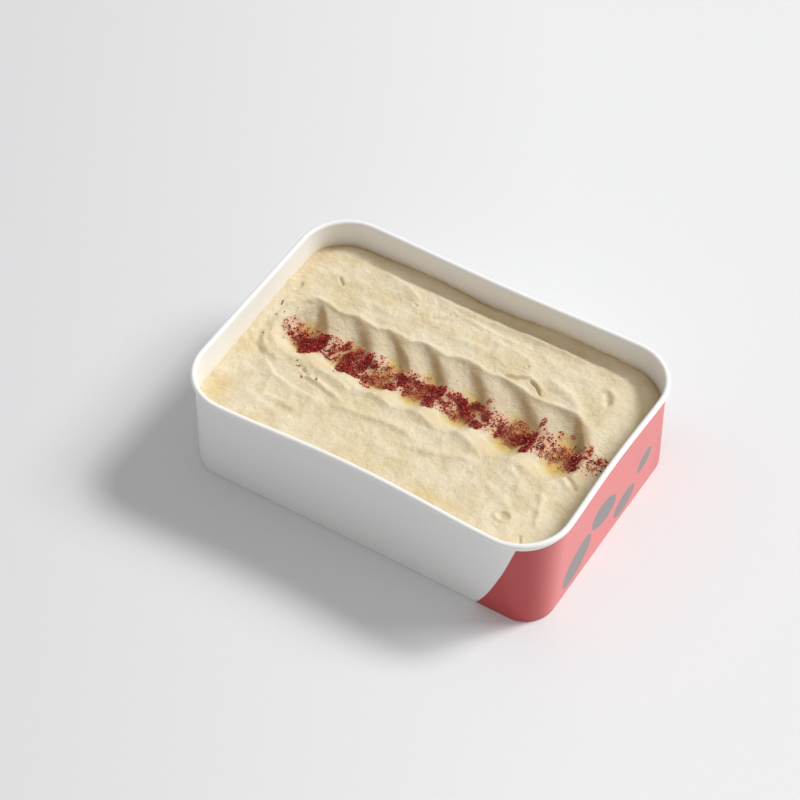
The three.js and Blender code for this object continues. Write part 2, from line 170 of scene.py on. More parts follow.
# Marks of the spatula: path, width on the left and right of it, height
STROKES = (
    (((-74, 48.6), (-40, 49.2), (0, 50.2), (30, 51.2), (52, 50.8), (64, 48.6), (71, 44.6), (76, 38)),
     1.7, 1.7, -0.8),
    (((-28, 47), (-18, 45.7), (0, 46.3), (20, 47.5), (35, 48), (52, 46.8)), 1.0, 1.6, 0.45),
    (((-24, 44), (-10, 42.5), (10, 41.6), (22, 42)), 0.8, 1.0, 0.22),
    (((-52, 46.6), (-45, 46), (-38, 44.8), (-32, 42), (-28, 40.3)), 1.0, 3.0, 0.5),
    (((-22, 35), (-17, 37), (-12, 39)), 1.2, 1.6, -0.35),
    (((5, 37), (10, 38.3), (18, 37.8), (25, 36.3), (31, 33)), 0.9, 3.4, 0.3),
    (((36, 31), (44, 29.5), (50, 27.4), (54, 23.6), (60, 22)), 2.0, 3.0, 0.55),
    (((-66, 35.2), (-64, 33.8), (-61.6, 31.6)), 0.6, 0.6, -0.7),
    (((-77, 25), (-77.4, 22.5), (-78.4, 20)), 1.0, 1.0, -0.6),
    (((60, 38.4), (62, 35), (64, 31)), 1.8, 1.4, -0.6),
    (((58, 40), (61, 39.5), (65, 36), (67, 31)), 1.6, 1.6, 0.35),
    (((19, 23.6), (25, 24.8), (30, 27.6)), 0.7, 1.0, -0.55),
    (((30, 27.6), (32, 26.2), (35, 25), (37, 23.4), (39, 21.6)), 0.35, 0.45, -0.8),
    (((20, 25.2), (26, 26.4), (29.6, 29), (34, 27), (40, 24)), 0.8, 1.4, 0.35),
    (((-71, -14), (-66, -20), (-59, -24.6), (-50, -26.8), (-38, -27.4), (-30, -26.6)), 1.0, 2.6, 0.4),
    (((-33, -26.8), (-20, -25), (-10, -23.2), (1, -23), (10, -24)), 2.4, 1.5, 0.6),
    (((8, -28.6), (18, -26.6), (27, -23), (36, -21.4)), 2.0, 1.5, 0.5),
    (((-60, -28), (-57.6, -33), (-57, -37)), 1.2, 1.6, 0.25),
    (((-56, -36), (-49, -35.6), (-39, -36.4)), 1.6, 1.3, 0.45),
    (((-52, -16), (-47, -18.6), (-40, -19.8), (-33, -21.6), (-28, -22.4)), 1.4, 1.0, 0.6),
    (((-51.6, -15.4), (-49, -17.2), (-46.6, -18.8)), 0.8, 0.8, -0.7),
    (((-44.6, -17), (-42.6, -19)), 0.7, 0.7, -0.4),
    (((63, -20), (66, -25), (68.4, -32), (70.6, -39)), 1.3, 1.3, 0.4),
    (((66.6, -43), (68.6, -46), (69, -49)), 0.5, 0.5, -0.5),
    (((66, -7.6), (69.4, -8.8), (72.4, -11), (75, -12.4)), 0.9, 0.8, -0.7),
    (((64, -10), (68.6, -11.4), (72, -14)), 1.4, 1.4, 0.5),
    (((-4, -11.6), (3, -12.2), (9, -14), (14, -17)), 1.0, 2.0, 0.4),
    (((17, -11.8), (24, -13), (30, -15.6), (35, -19)), 1.0, 2.2, 0.5),
    (((-22, -13.6), (-15, -13.4), (-8, -15.4)), 1.0, 2.0, 0.35),
    (((-46, -13), (-36, -14.2), (-27, -16.8)), 1.2, 2.2, 0.4),
    (((-76, -4), (-73.6, -11), (-68, -15.4), (-60, -17)), 2.0, 1.4, 0.5),
    (((42, -16), (50, -19), (58, -24)), 1.6, 2.2, 0.3),
    (((-70, -34), (-62, -38), (-50, -41), (-36, -42)), 1.6, 2.4, 0.25),
    (((-10, -34), (8, -36), (24, -34.6)), 1.8, 2.6, 0.22),
    (((40, -28), (52, -31), (62, -38)), 1.4, 2.2, 0.25),
    (((-58, 27), (-44, 29), (-30, 28)), 2.0, 2.4, 0.2),
    (((-60, 20.4), (-67, 19.4), (-72, 15.4), (-75.4, 8), (-75, -1), (-71, -8), (-64, -13)), 1.3, 1.5, 0.4),
    (((-79.4, 4), (-78.6, -6), (-74.6, -14), (-66, -19)), 1.3, 1.5, -0.25),
    (((-14, 30), (4, 31.4), (20, 30)), 2.0, 2.6, 0.25),
)
STROKE_GAIN = 2.0
STROKE_END = 0.2
STROKE_END_HEIGHT = 0.35
# Small oval rings and pits: middle, half sizes, height of the ring, depth of its middle
RINGS = (
    (57.2, -39.4, 3.4, 2.5, 0.35, -0.3),
    (26.4, 33.0, 1.2, 1.0, 0.2, -0.3),
    (-30.0, 37.6, 1.6, 1.2, 0.25, -0.3),
    (-15.5, 41.0, 1.2, 0.9, 0.2, -0.25),
)
RING_WIDTH = 0.28
PIT_WIDTH = 0.7
# Fine relief in layers: cell along x and y, share of the height, shift of the noise
BEND = 3.0
BEND_CELL = 14.0
DRAWN_HEIGHT = 0.12
DRAWN_LAYERS = ((20.0, 4.0, 1.0, 1), (10.0, 2.2, 0.4, 2))
HILL_HEIGHT = 0.24
HILL_LAYERS = ((6.0, 5.0, 1.0, 5),)
SMALL_HILL_LAYERS = ((2.9, 2.6, 0.7, 6),)
GRAIN_HEIGHT = 0.12
GRAIN_LAYERS = ((1.5, 1.2, 1.0, 7), (0.8, 0.7, 0.7, 8))
# Streaks that the spoon dragged into the row
DRAG_HEIGHT = 0.1
DRAG_CELL_X = 2.6
DRAG_CELL_Y = 9.0
DRAG_SLANT = 4.0

# Sumac: patches as middle, half sizes and density
PATCHES = (
    (-57, -1, 5.5, 5.5, 1.0), (-62, 0.5, 4, 4, 0.6), (-53, 2, 2.2, 5, 1.0), (-56.5, -6, 3, 3.2, 0.9),
    (-66, 1, 3.5, 3, 0.5), (-68, 6.5, 3, 2, 0.16), (-70, 3, 2.5, 4, 0.12), (-58, 6.5, 3, 1.6, 0.2),
    (-46, 1.5, 4, 4.5, 0.42), (-43.5, 7, 2, 3, 0.5), (-48, 6, 2.5, 2, 0.25), (-47, -2, 3, 2, 0.3),
    (-39.5, 2, 3, 3.5, 0.75), (-38, -4, 4.5, 4, 0.75), (-34, -6, 4.5, 2.4, 0.8), (-32.5, 1.5, 2.6, 6, 0.95),
    (-38, 7, 2.5, 1.8, 0.5), (-35, 3, 3, 3, 0.5), (-28.5, 3, 2, 2.2, 0.7), (-27.5, 8, 1.2, 1.5, 0.3),
    (-27, -4.5, 3.5, 3, 0.5), (-24, -3, 3, 3, 0.3), (-26, -8.5, 3, 1.4, 0.25), (-20.5, 1.5, 4, 3, 0.22),
    (-16.5, 3.5, 2.4, 2.2, 0.75), (-14, 1.5, 2, 3, 0.85), (-17, -3.5, 3, 2.4, 0.6), (-21, -4.5, 3, 1.5, 0.4),
    (-11, 2.5, 3, 3.5, 0.5), (-10, -2, 3, 2.2, 0.4), (-6.5, 4, 3.5, 2.5, 0.5), (-11, 7.5, 2, 1.5, 0.2),
    (-6, 9, 3, 1, 0.1), (-2.5, 5, 2.5, 2.2, 0.75), (-5, 0, 3, 3, 0.35), (0, 0, 3.5, 3, 0.65),
    (1.5, 4, 3, 4.5, 0.8), (1, -4, 3, 1.5, 0.6), (6.5, 2, 3, 4, 0.5), (9, 6, 1.8, 3, 0.6),
    (12, 5, 3, 2.6, 0.8), (15, 2, 3, 3, 0.8), (17.5, 6.5, 2, 2.4, 0.8), (20, 6.5, 2, 1.6, 0.75),
    (10, -2, 3, 1.8, 0.4), (13, -2, 2.5, 2, 0.45), (19, -1, 3.5, 2.5, 0.5), (23, -2.5, 3, 2.8, 0.75),
    (24.5, 3, 2.2, 3.5, 0.8), (22, 10.5, 1.6, 1.5, 0.3), (29, 3, 4, 4, 0.2), (33, 1, 2.5, 2.4, 0.7),
    (32.5, -2.5, 1.2, 1.2, 0.5), (36, 2.5, 4, 3, 0.45), (38, -1.5, 3, 2.5, 0.5), (43, 2, 3, 4, 0.9),
    (46, 2, 1.8, 6, 0.95), (45.5, -4, 2, 1.8, 0.8), (40.5, 0, 2.5, 3.5, 0.65), (38, 7.5, 4, 1.8, 0.22),
    (46, 11.5, 1.2, 3, 0.35), (50.5, 3, 3, 5, 0.22), (48, 8.5, 1.6, 1.6, 0.25), (54.5, 10.5, 1.6, 2.2, 0.3),
    (51, 7.5, 2.5, 2, 0.2), (56, 3, 4, 3, 0.1), (60, 5.5, 2.2, 2.2, 0.45), (62.5, 3, 2, 2, 0.5),
    (65.5, 2.5, 3.2, 3.4, 0.95), (66.5, -2, 2.4, 2.2, 0.7), (69.5, 6, 2, 3, 0.5), (69, 10, 1.2, 1.5, 0.3),
    (73, 2, 3, 3, 0.2), (76, 6, 2.5, 2.5, 0.3), (59.5, 12.5, 1.5, 1, 0.2), (64, -1, 2, 2, 0.5),
)
PATCH_EDGE = (0.45, 1.25)
# Thin scatter between the patches: its density, middle line, edge beside it and ends
SUMAC_BETWEEN = 0.2
SUMAC_ROW_Y = 2.0
SUMAC_ROW_EDGE = (2.5, 7.0)
SUMAC_LEFT_END = (-72.0, -64.0)
SUMAC_RIGHT_END = (56.0, 82.0)
# Single flakes and herb specks: place and size
STRAY_FLAKES = (
    (-78.6, 11.4, 1.0), (-78.2, 10.4, 0.9), (-78.8, 12.4, 0.7), (-74.6, 6.8, 0.8), (-74.2, 6.0, 0.7),
    (-77, 4.2, 0.9), (-71, 11.5, 0.7), (-62.5, 7, 0.9), (-73.8, -4.4, 0.8), (-75.8, -7.2, 1.0),
    (-76.4, -6.6, 0.7), (-55, -13.5, 0.9), (-52.8, -15.4, 1.1), (-53.6, -15.8, 0.8), (-48.6, -20, 1.1),
    (-49.2, -19.6, 0.8), (-42.6, -18.2, 1.1), (-42.2, -19.0, 0.8), (-46.4, -17.8, 0.6), (-40.4, -9.4, 0.9),
    (-39.6, -9.8, 0.7), (-51, 10.6, 0.7), (-17.2, 11.2, 0.5), (69.9, 18.4, 0.6), (5.0, 12.8, 0.6),
    (30, 10, 0.7), (56.5, -1.2, 0.6), (72.4, 10.6, 0.4),
)
HERB_SPECKS = (
    (62.5, 8.7, 1.0), (61.9, -4.5, 0.9), (59.0, -0.6, 0.8), (77.2, 2.4, 1.1), (14.8, -5.2, 0.7),
    (57.8, -3.3, 0.6), (76.8, -0.4, 0.8), (41.2, -5.0, 0.5), (52.2, 0.6, 0.7), (74.6, 5.8, 0.7),
    (-24.4, -0.8, 0.7), (-21.6, 1.8, 0.6), (-19.8, -3.8, 0.6), (-17.6, 6.4, 0.6),
)


def smooth_step(low, high, value):
    t = np.clip((value - low) / (high - low), 0, 1)
    return t * t * (3 - 2 * t)


def between(left_end, right_end, value):
    """One between two ends, easing to nought over each of them."""
    return smooth_step(*left_end, value) * (1 - smooth_step(*right_end, value))


def oval_away(x, y, oval):
    """Square of the distance from the middle of an oval, one at its edge."""
    middle_x, middle_y, half_x, half_y = oval
    return ((x - middle_x) / half_x) ** 2 + ((y - middle_y) / half_y) ** 2


def smooth_min(a, b, k):
    """The lower of two heights, with the edge between them rounded over a height k."""
    overlap = np.maximum(k - np.abs(a - b), 0) / k
    return np.minimum(a, b) - overlap * overlap * k / 4


def eased_path(path, x):
    """A value that eases from one point of a path to the next."""
    xs = np.array([p[0] for p in path], dtype=float)
    ys = np.array([p[1] for p in path], dtype=float)
    k = np.clip(np.searchsorted(xs, x, side="right") - 1, 0, len(xs) - 2)
    return ys[k] + (ys[k + 1] - ys[k]) * smooth_step(xs[k], xs[k + 1], x)


TABLE_SIZE = 256
NOISE_TABLE = np.random.default_rng(7).uniform(-1, 1, (TABLE_SIZE, TABLE_SIZE))


def noise(x, y, shift=0):
    """Smooth noise between -1 and 1 with cells one unit wide."""
    column = np.floor(x).astype(int)
    row = np.floor(y).astype(int)
    u = x - column
    v = y - row
    u = u * u * u * (u * (u * 6 - 15) + 10)
    v = v * v * v * (v * (v * 6 - 15) + 10)
    left = (column + 17 * shift) % TABLE_SIZE
    right = (left + 1) % TABLE_SIZE
    low = (row + 31 * shift) % TABLE_SIZE
    high = (low + 1) % TABLE_SIZE
    near = NOISE_TABLE[low, left] * (1 - u) + NOISE_TABLE[low, right] * u
    far = NOISE_TABLE[high, left] * (1 - u) + NOISE_TABLE[high, right] * u
    return near * (1 - v) + far * v


def wall_at(z):
    """Half length, half width, corner radius and share of the bow of the outer wall at a height."""
    t = z / TUB_HEIGHT
    half_length = FOOT_LENGTH / 2 + (RIM_LENGTH / 2 - OVERHANG - FOOT_LENGTH / 2) * t
    half_width = FOOT_WIDTH / 2 + (RIM_WIDTH / 2 - OVERHANG - FOOT_WIDTH / 2) * t
    radius = FOOT_CORNER_RADIUS + (RIM_CORNER_RADIUS - OVERHANG - FOOT_CORNER_RADIUS) * t
    return half_length, half_width, radius, BOW_AT_FOOT + (1 - BOW_AT_FOOT) * t


def wall_ring(z, offset):
    """Rounded rectangle with bowed sides, anticlockwise, at a height and an offset from the wall."""
    half_length, half_width, wall_radius, share = wall_at(z)
    radius = wall_radius + offset
    ring = []
    for turns, (bow, steps) in enumerate(TUB_SIDES):
        out, along = (half_width, half_length) if turns % 2 else (half_length, half_width)
        points = []
        for i in range(steps):
            t = 2 * i / steps - 1
            points.append((out + offset - bow * share * (1 - t * t) ** 2, t * (along - wall_radius)))
        for i in range(CORNER_STEPS):
            angle = i / CORNER_STEPS * math.pi / 2
            x, y = radius * math.cos(angle), radius * math.sin(angle)
            points.append((out - wall_radius + x, along - wall_radius + y))
        for x, y in points:
            for _ in range(turns):
                x, y = -y, x
            ring.append((x, y, z))
    return ring


def wall_distance(x, y, z):
    """How far a point lies outside the tub's outer wall, negative inside it."""
    half_length, half_width, radius, share = wall_at(z)
    along_x = np.clip(x / (half_length - radius), -1, 1)
    along_y = np.clip(y / (half_width - radius), -1, 1)
    bow_x = np.where(x > 0, BOW_RIGHT, BOW_LEFT) * share * (1 - along_y**2) ** 2
    bow_y = np.where(y > 0, BOW_BACK, BOW_FRONT) * share * (1 - along_x**2) ** 2
    over_x = np.abs(x) - (half_length - bow_x - radius)
    over_y = np.abs(y) - (half_width - bow_y - radius)
    outside = np.hypot(np.maximum(over_x, 0), np.maximum(over_y, 0))
    return outside + np.minimum(np.maximum(over_x, over_y), 0) - radius


def stroke_height(x, y, stroke):
    """Ridge or furrow along a path, each side with its own width, thin at both ends."""
    path, left_width, right_width, height = stroke
    points = np.array(path, dtype=float)
    lengths = np.hypot(*np.diff(points, axis=0).T)
    total = lengths.sum()
    best = np.full(x.shape, 1e9)
    side = np.zeros(x.shape)
    travelled = np.zeros(x.shape)
    start = 0.0
    for (from_x, from_y), (to_x, to_y), length in zip(points[:-1], points[1:], lengths):
        along = ((x - from_x) * (to_x - from_x) + (y - from_y) * (to_y - from_y)) / length**2
        along = np.clip(along, 0, 1)
        away_x = x - from_x - along * (to_x - from_x)
        away_y = y - from_y - along * (to_y - from_y)
        away = np.hypot(away_x, away_y)
        nearer = away < best
        turn = (to_x - from_x) * away_y - (to_y - from_y) * away_x
        best = np.where(nearer, away, best)
        side = np.where(nearer, turn, side)
        travelled = np.where(nearer, (start + along * length) / total, travelled)
        start += length
    width = np.where(side > 0, left_width, right_width)
    ends = between((0, STROKE_END), (1 - STROKE_END, 1), travelled)
    share = STROKE_END_HEIGHT + (1 - STROKE_END_HEIGHT) * ends
    return height * share * ends**0.5 * np.exp(-((best / width) ** 2))


def ring_height(x, y, ring):
    """Low oval rim round a shallow pit."""
    *oval, rise, sink = ring
    away = np.sqrt(oval_away(x, y, oval))
    return rise * np.exp(-(((away - 1) / RING_WIDTH) ** 2)) + sink * np.exp(-((away / PIT_WIDTH) ** 2))


def spread_surface(x, y):
    """Spread hummus without the groove: slow waves, drops at the ends, smear up the back wall."""
    waves = np.sin(x / WAVE_X + WAVE_START_X) * np.cos(y / WAVE_Y + WAVE_START_Y)
    waves = waves + SLANT_WAVE_SHARE * np.sin(x / SLANT_WAVE_X - y / SLANT_WAVE_Y)
    left_drop = LEFT_DROP - LEFT_DROP_TILT * y
    smear = between(SMEAR_LEFT, SMEAR_RIGHT, x)
    back_wall = wall_at(SURFACE_LEVEL)[1]
    climb = np.clip((y - SMEAR_FROM_Y) / (back_wall - SMEAR_FROM_Y), 0, 1)
    from_wall = -wall_distance(x, y, SURFACE_LEVEL) - WALL
    contact = np.clip(1 - from_wall / BACK_CONTACT_WIDTH, 0, 1) ** 2 * smooth_step(*BACK_CONTACT_FROM_Y, y)
    height = SURFACE_LEVEL + WAVE_HEIGHT * waves + eased_path(BACK_CONTACT_PATH, x) * contact
    height = height - left_drop * (1 - smooth_step(-RIM_LENGTH / 2, LEFT_DROP_FROM, x))
    height = height - RIGHT_DROP * smooth_step(RIGHT_DROP_FROM, RIM_LENGTH / 2, x)
    return height + SMEAR_RISE * smear * climb * climb


def across_row(x, y, reach_front):
    """Where a point lies across the row, its edges being at plus and minus one."""
    away = y - DENT_MIDDLE_Y
    front = reach_front * eased_path(FRONT_SHARE_PATH, x)
    return np.where(away > 0, away / eased_path(BACK_REACH_PATH, x), away / front)


def dent_surface(dent, x, y):
    """Hollow of one dent, steeper on its right than on its left."""
    middle, dent_reach_left, floor, _ = dent
    away = y - DENT_CURVE_FROM_Y
    sweep = np.where(away > 0, DENT_CURVE_BACK, DENT_CURVE_FRONT) * away**2
    along = x + sweep - middle
    across = across_row(x, y, DENT_REACH_FRONT)
    reach_left = np.maximum(dent_reach_left - sweep, DENT_REACH_LEFT_LEAST)
    rise_right = (np.maximum(along, 0) / DENT_REACH_RIGHT) ** DENT_POWER_RIGHT
    rise_left = (np.maximum(-along, 0) / reach_left) ** DENT_POWER_LEFT
    rise_back = np.maximum(across, 0) ** DENT_POWER_BACK
    rise_front = (np.maximum(-across - DENT_FRONT_FROM, 0) / (1 - DENT_FRONT_FROM)) ** DENT_POWER_FRONT
    return floor + DENT_DEPTH * (rise_right + rise_left + rise_back + rise_front)


def groove_surface(x, y):
    """Groove that runs along the whole row."""
    past_end = np.maximum(np.maximum(GROOVE_ENDS[0] - x, x - GROOVE_ENDS[1]), 0) / GROOVE_END_REACH
    across = across_row(x, y, GROOVE_REACH_FRONT)
    away = np.hypot(past_end, across)
    power = np.where(across > 0, GROOVE_POWER_BACK, GROOVE_POWER_FRONT)
    return SURFACE_LEVEL - GROOVE_DEPTH + GROOVE_DEPTH * away**power


def lip_height(x, y):
    """Ridge of hummus pushed up along both sides of the groove."""
    left, right = GROOVE_ENDS
    fade = between((left - GROOVE_END_REACH, left), (right, right + GROOVE_END_REACH), x)
    behind = y - DENT_MIDDLE_Y - eased_path(BACK_REACH_PATH, x)
    back = np.exp(-((behind / np.where(behind > 0, LIP_SPREAD_BEHIND, LIP_SPREAD)) ** 2))
    front = np.exp(-(((y - DENT_MIDDLE_Y + DENT_REACH_FRONT) / LIP_SPREAD) ** 2))
    return fade * (LIP_HEIGHT_BACK * back + LIP_HEIGHT_FRONT * front)


def layered_noise(layers, x, y):
    """Sum of noises, each with its own cell, share and shift."""
    return sum(share * noise(x / cell_x, y / cell_y, shift) for cell_x, cell_y, share, shift in layers)


def spread_detail(x, y):
    """Spatula marks, drawn streaks and small hills of the spread hummus."""
    height = sum(stroke_height(x, y, stroke) for stroke in STROKES)
    height = height + sum(ring_height(x, y, ring) for ring in RINGS)
    bend_x = x + BEND * noise(x / BEND_CELL, y / BEND_CELL, 3)
    bend_y = y + BEND * noise(x / BEND_CELL, y / BEND_CELL, 4)
    drawn = layered_noise(DRAWN_LAYERS, bend_x, bend_y)
    hills = layered_noise(HILL_LAYERS, bend_x, bend_y) + layered_noise(SMALL_HILL_LAYERS, x, y)
    return STROKE_GAIN * height + DRAWN_HEIGHT * drawn + HILL_HEIGHT * hills


def back_slope(inward):
    """Bare slope of the back of the groove, from its lip down to the floor."""
    slope = BACK_LIP_TOP - STEEP_FALL * (1 - np.exp(-inward / STEEP_FALL_WIDTH)) - BACK_SLOPE_FALL * inward
    return -smooth_min(-slope, -BACK_FLOOR, BACK_FLOOR_ROUNDING)


def ridge_shape(part):
    """Rounded ridge at both ends of a dent and the valley between them, from one to nought and back."""
    fall = 0.5 + 0.5 * np.cos(math.pi * np.clip(part / DEEPEST_AT, 0, 1))
    rise = 0.5 - 0.5 * np.cos(math.pi * np.clip((part - DEEPEST_AT) / (1 - DEEPEST_AT), 0, 1))
    return np.where(part < DEEPEST_AT, fall, rise)


def back_of_dents(x, y):
    """Dents behind the sumac: long slopes down to the right, each ending in a steeper wall."""
    away = (y - DENT_MIDDLE_Y) / eased_path(BACK_REACH_PATH, x)
    inward = np.clip(1 - away, 0, 1)
    low = back_slope(inward)
    ridge = RIDGE_HEIGHT * (1 - np.exp(-inward / RIDGE_HEIGHT_EASE))
    behind = np.maximum(y - RIDGE_FROM_Y, 0)
    sweep = RIDGE_SWEEP[0] * behind + RIDGE_SWEEP[1] * behind**2
    crests = [start - share * sweep for start, share in RIDGES]
    share = np.ones_like(x)
    for left, right in zip(crests[:-1], crests[1:]):
        part = (x - left) / (right - left)
        share = np.where((part >= 0) & (part < 1), ridge_shape(part), share)
    first = smooth_step(0, 1, (crests[0] + LEFT_END_WIDTH - x) / LEFT_END_WIDTH)
    last = smooth_step(0, 1, (x - crests[-1] + RIGHT_END_WIDTH) / RIGHT_END_WIDTH)
    height = low + ridge * share
    height = height + (BACK_LIP_TOP - height) * np.maximum(first, last)
    return height + LIP_STEEPNESS * np.maximum(away - 1, 0)


def pressed_surface(x, y):
    """The groove with its dents: pressed hollows in front, long slopes behind."""
    pressed = dent_surface(DENTS[0], x, y)
    for dent in DENTS[1:]:
        pressed = smooth_min(pressed, dent_surface(dent, x, y), RIDGE_ROUNDING)
    front = smooth_min(pressed, groove_surface(x, y), LIP_ROUNDING)
    share = smooth_step(*BACK_BLEND, y)
    dragged = DRAG_HEIGHT * noise(x / DRAG_CELL_X + y / DRAG_SLANT, y / DRAG_CELL_Y, 9)
    return front * (1 - share) + back_of_dents(x, y) * share + dragged


def hummus_surface(x, y):
    """Height of the hummus with all its relief."""
    open_ground = spread_surface(x, y) + lip_height(x, y) + spread_detail(x, y)
    rounding = LIP_ROUNDING + (BACK_LIP_ROUNDING - LIP_ROUNDING) * smooth_step(*BACK_ROUNDING_FROM_Y, y)
    grain = GRAIN_HEIGHT * layered_noise(GRAIN_LAYERS, x, y)
    return smooth_min(open_ground, pressed_surface(x, y), rounding) + grain


def oil_level(dent):
    return dent[2] + dent[3]


def oil_reach(dent, x, y):
    """How far a point lies from the middle of a dent's pool, one at the edge of its oval."""
    return np.hypot((x - dent[0]) / OIL_SPAN[0], (y - DENT_MIDDLE_Y) / OIL_SPAN[1])


def sumac_density(x, y):
    """How thickly the sumac lies, from nought to one."""
    row = 1 - smooth_step(*SUMAC_ROW_EDGE, np.abs(y - SUMAC_ROW_Y))
    density = SUMAC_BETWEEN * row * between(SUMAC_LEFT_END, SUMAC_RIGHT_END, x)
    for *oval, peak in PATCHES:
        density = np.maximum(density, peak * (1 - smooth_step(*PATCH_EDGE, oval_away(x, y, oval))))
    return density


def make_object(name, vertices, faces, smooth=True):
    """Mesh object in metres from points in millimetres."""
    mesh = bpy.data.meshes.new(name)
    mesh.from_pydata([tuple(v) for v in np.asarray(vertices, dtype=float) * MM], [], faces)
    mesh.validate()
    mesh.update()
    mesh.polygons.foreach_set("use_smooth", [smooth] * len(mesh.polygons))
    piece = bpy.data.objects.new(name, mesh)
    bpy.context.scene.collection.objects.link(piece)
    return piece


def band(lower, upper):
    """Quads between two rings of vertices."""
    return np.stack([lower, np.roll(lower, -1), np.roll(upper, -1), upper], -1).tolist()


def fan(middle, ring):
    """Triangles from a middle vertex to a ring."""
    return [(middle, int(a), int(b)) for a, b in zip(ring, np.roll(ring, -1))]


def point_values(piece, name, values):
    """Gives every vertex of a piece a number that its material can read."""
    attribute = piece.data.attributes.new(name, "FLOAT", "POINT")
    attribute.data.foreach_set("value", np.asarray(values, dtype=np.float32))


class Shader:
    """Adds and links the nodes of one material."""

    def __init__(self, name):
        self.material = bpy.data.materials.new(name)
        self.material.use_nodes = True
        self.tree = self.material.node_tree
        self.tree.nodes.clear()
        self.output = self.add("ShaderNodeOutputMaterial")

    def add(self, kind, inputs=None, **settings):
        node = self.tree.nodes.new(kind)
        for name, value in settings.items():
            setattr(node, name, value)
        for name, value in (inputs or {}).items():
            self.feed(node.inputs[name], value)
        return node

    def feed(self, socket, value):
        if isinstance(value, bpy.types.NodeSocket):
            self.tree.links.new(value, socket)
        else:
            socket.default_value = value

    def maths(self, operation, a, b=0.0, c=0.0, clamp=False):
        node = self.add("ShaderNodeMath", {0: a, 1: b, 2: c}, operation=operation, use_clamp=clamp)
        return node.outputs[0]

    def ramp(self, value, low, high, low_out=0.0, high_out=1.0, kind="SMOOTHSTEP"):
        inputs = {"Value": value, "From Min": low, "From Max": high, "To Min": low_out, "To Max": high_out}
        return self.add("ShaderNodeMapRange", inputs, interpolation_type=kind).outputs["Result"]

    def mix(self, factor, a, b, blend="MIX"):
        node = self.add("ShaderNodeMix", data_type="RGBA", blend_type=blend)
        self.feed(node.inputs[0], factor)
        self.feed(node.inputs[6], a)
        self.feed(node.inputs[7], b)
        return node.outputs[2]

    def noise(self, vector, scale, detail=3.0, roughness=0.55):
        inputs = {"Vector": vector, "Scale": scale, "Detail": detail, "Roughness": roughness}
        return self.add("ShaderNodeTexNoise", inputs).outputs["Fac"]

    def place(self):
        """The point's place in millimetres."""
        inputs = {0: self.add("ShaderNodeTexCoord").outputs["Object"], "Scale": 1 / MM}
        return self.add("ShaderNodeVectorMath", inputs, operation="SCALE").outputs[0]

    def value(self, name):
        return self.add("ShaderNodeAttribute", attribute_name=name).outputs["Fac"]

    def bump(self, height, distance, strength=1.0):
        inputs = {"Height": height, "Distance": distance * MM, "Strength": strength}
        return self.add("ShaderNodeBump", inputs).outputs["Normal"]

    def principled(self, inputs):
        node = self.add("ShaderNodeBsdfPrincipled", inputs)
        self.feed(self.output.inputs["Surface"], node.outputs[0])


def colour(red, green, blue):
    """Linear colour of a screen colour given from 0 to 255."""
    shares = [value / 255 for value in (red, green, blue)]
    linear = [c / 12.92 if c <= 0.04045 else ((c + 0.055) / 1.055) ** 2.4 for c in shares]
    return (*linear, 1.0)


# Camera, at the photograph's angle
CAMERA_AZIMUTH = 32.0
CAMERA_ELEVATION = 49.12
CAMERA_DISTANCE = 1128.94
CAMERA_TARGET = (-16.88, 4.15, 20.0)
CAMERA_ROLL = -0.21
CAMERA_LENS = 123.81
CAMERA_SENSOR = 36.0
CAMERA_CLIP = (10.0, 20000.0)


def make_camera():
    azimuth = math.radians(CAMERA_AZIMUTH)
    elevation = math.radians(CAMERA_ELEVATION)
    level = math.cos(elevation)
    back = Vector((math.sin(azimuth) * level, -math.cos(azimuth) * level, math.sin(elevation)))
    data = bpy.data.cameras.new("camera")
    data.lens = CAMERA_LENS
    data.sensor_width = CAMERA_SENSOR
    data.clip_start = CAMERA_CLIP[0] * MM
    data.clip_end = CAMERA_CLIP[1] * MM
    camera = bpy.data.objects.new("camera", data)
    turn = (-back).to_track_quat("-Z", "Y").to_matrix().to_4x4()
    roll = Matrix.Rotation(math.radians(CAMERA_ROLL), 4, "Z")
    place = Vector(CAMERA_TARGET) * MM + back * CAMERA_DISTANCE * MM
    camera.matrix_world = Matrix.Translation(place) @ turn @ roll
    bpy.context.scene.collection.objects.link(camera)
    bpy.context.scene.camera = camera


# Light: two soft lamps from the back right, a very broad one overhead, and even light from all round.
# Each lamp has a direction, a strength and a softness in degrees.
LAMPS = (
    ("lamp", (0.52, 0.74, 1.0), 1.35, 13.0),
    ("lamp_side", (0.86, 0.8, 1.0), 1.25, 20.0),
    ("overhead", (0.0, 0.0, 1.0), 0.35, 140.0),
)
SKY_STRENGTH = 0.37
SKY_COLOUR = (1.0, 0.985, 0.975, 1.0)


def make_light():
    for name, direction, strength, softness in LAMPS:
        data = bpy.data.lights.new(name, "SUN")
        data.energy = strength
        data.angle = math.radians(softness)
        lamp = bpy.data.objects.new(name, data)
        lamp.rotation_mode = "QUATERNION"
        lamp.rotation_quaternion = Vector(direction).to_track_quat("Z", "Y")
        bpy.context.scene.collection.objects.link(lamp)
    world = bpy.data.worlds.new("sky")
    world.use_nodes = True
    background = world.node_tree.nodes["Background"]
    background.inputs["Color"].default_value = SKY_COLOUR
    background.inputs["Strength"].default_value = SKY_STRENGTH
    bpy.context.scene.world = world
    bpy.context.scene.view_settings.view_transform = "Standard"


# Floor: a pale card, a little darker towards the left, a painted falloff of the light
FLOOR_HALF = 3000.0
FLOOR_TO_RIGHT = (0.848, 0.53, 0.0)
FLOOR_LIGHT_FALLOFF = (-190.0, 60.0)
FLOOR_LEFT_COLOUR = (217, 217, 219)
FLOOR_RIGHT_COLOUR = (234, 235, 236)
FLECK_DARKEST = 0.985


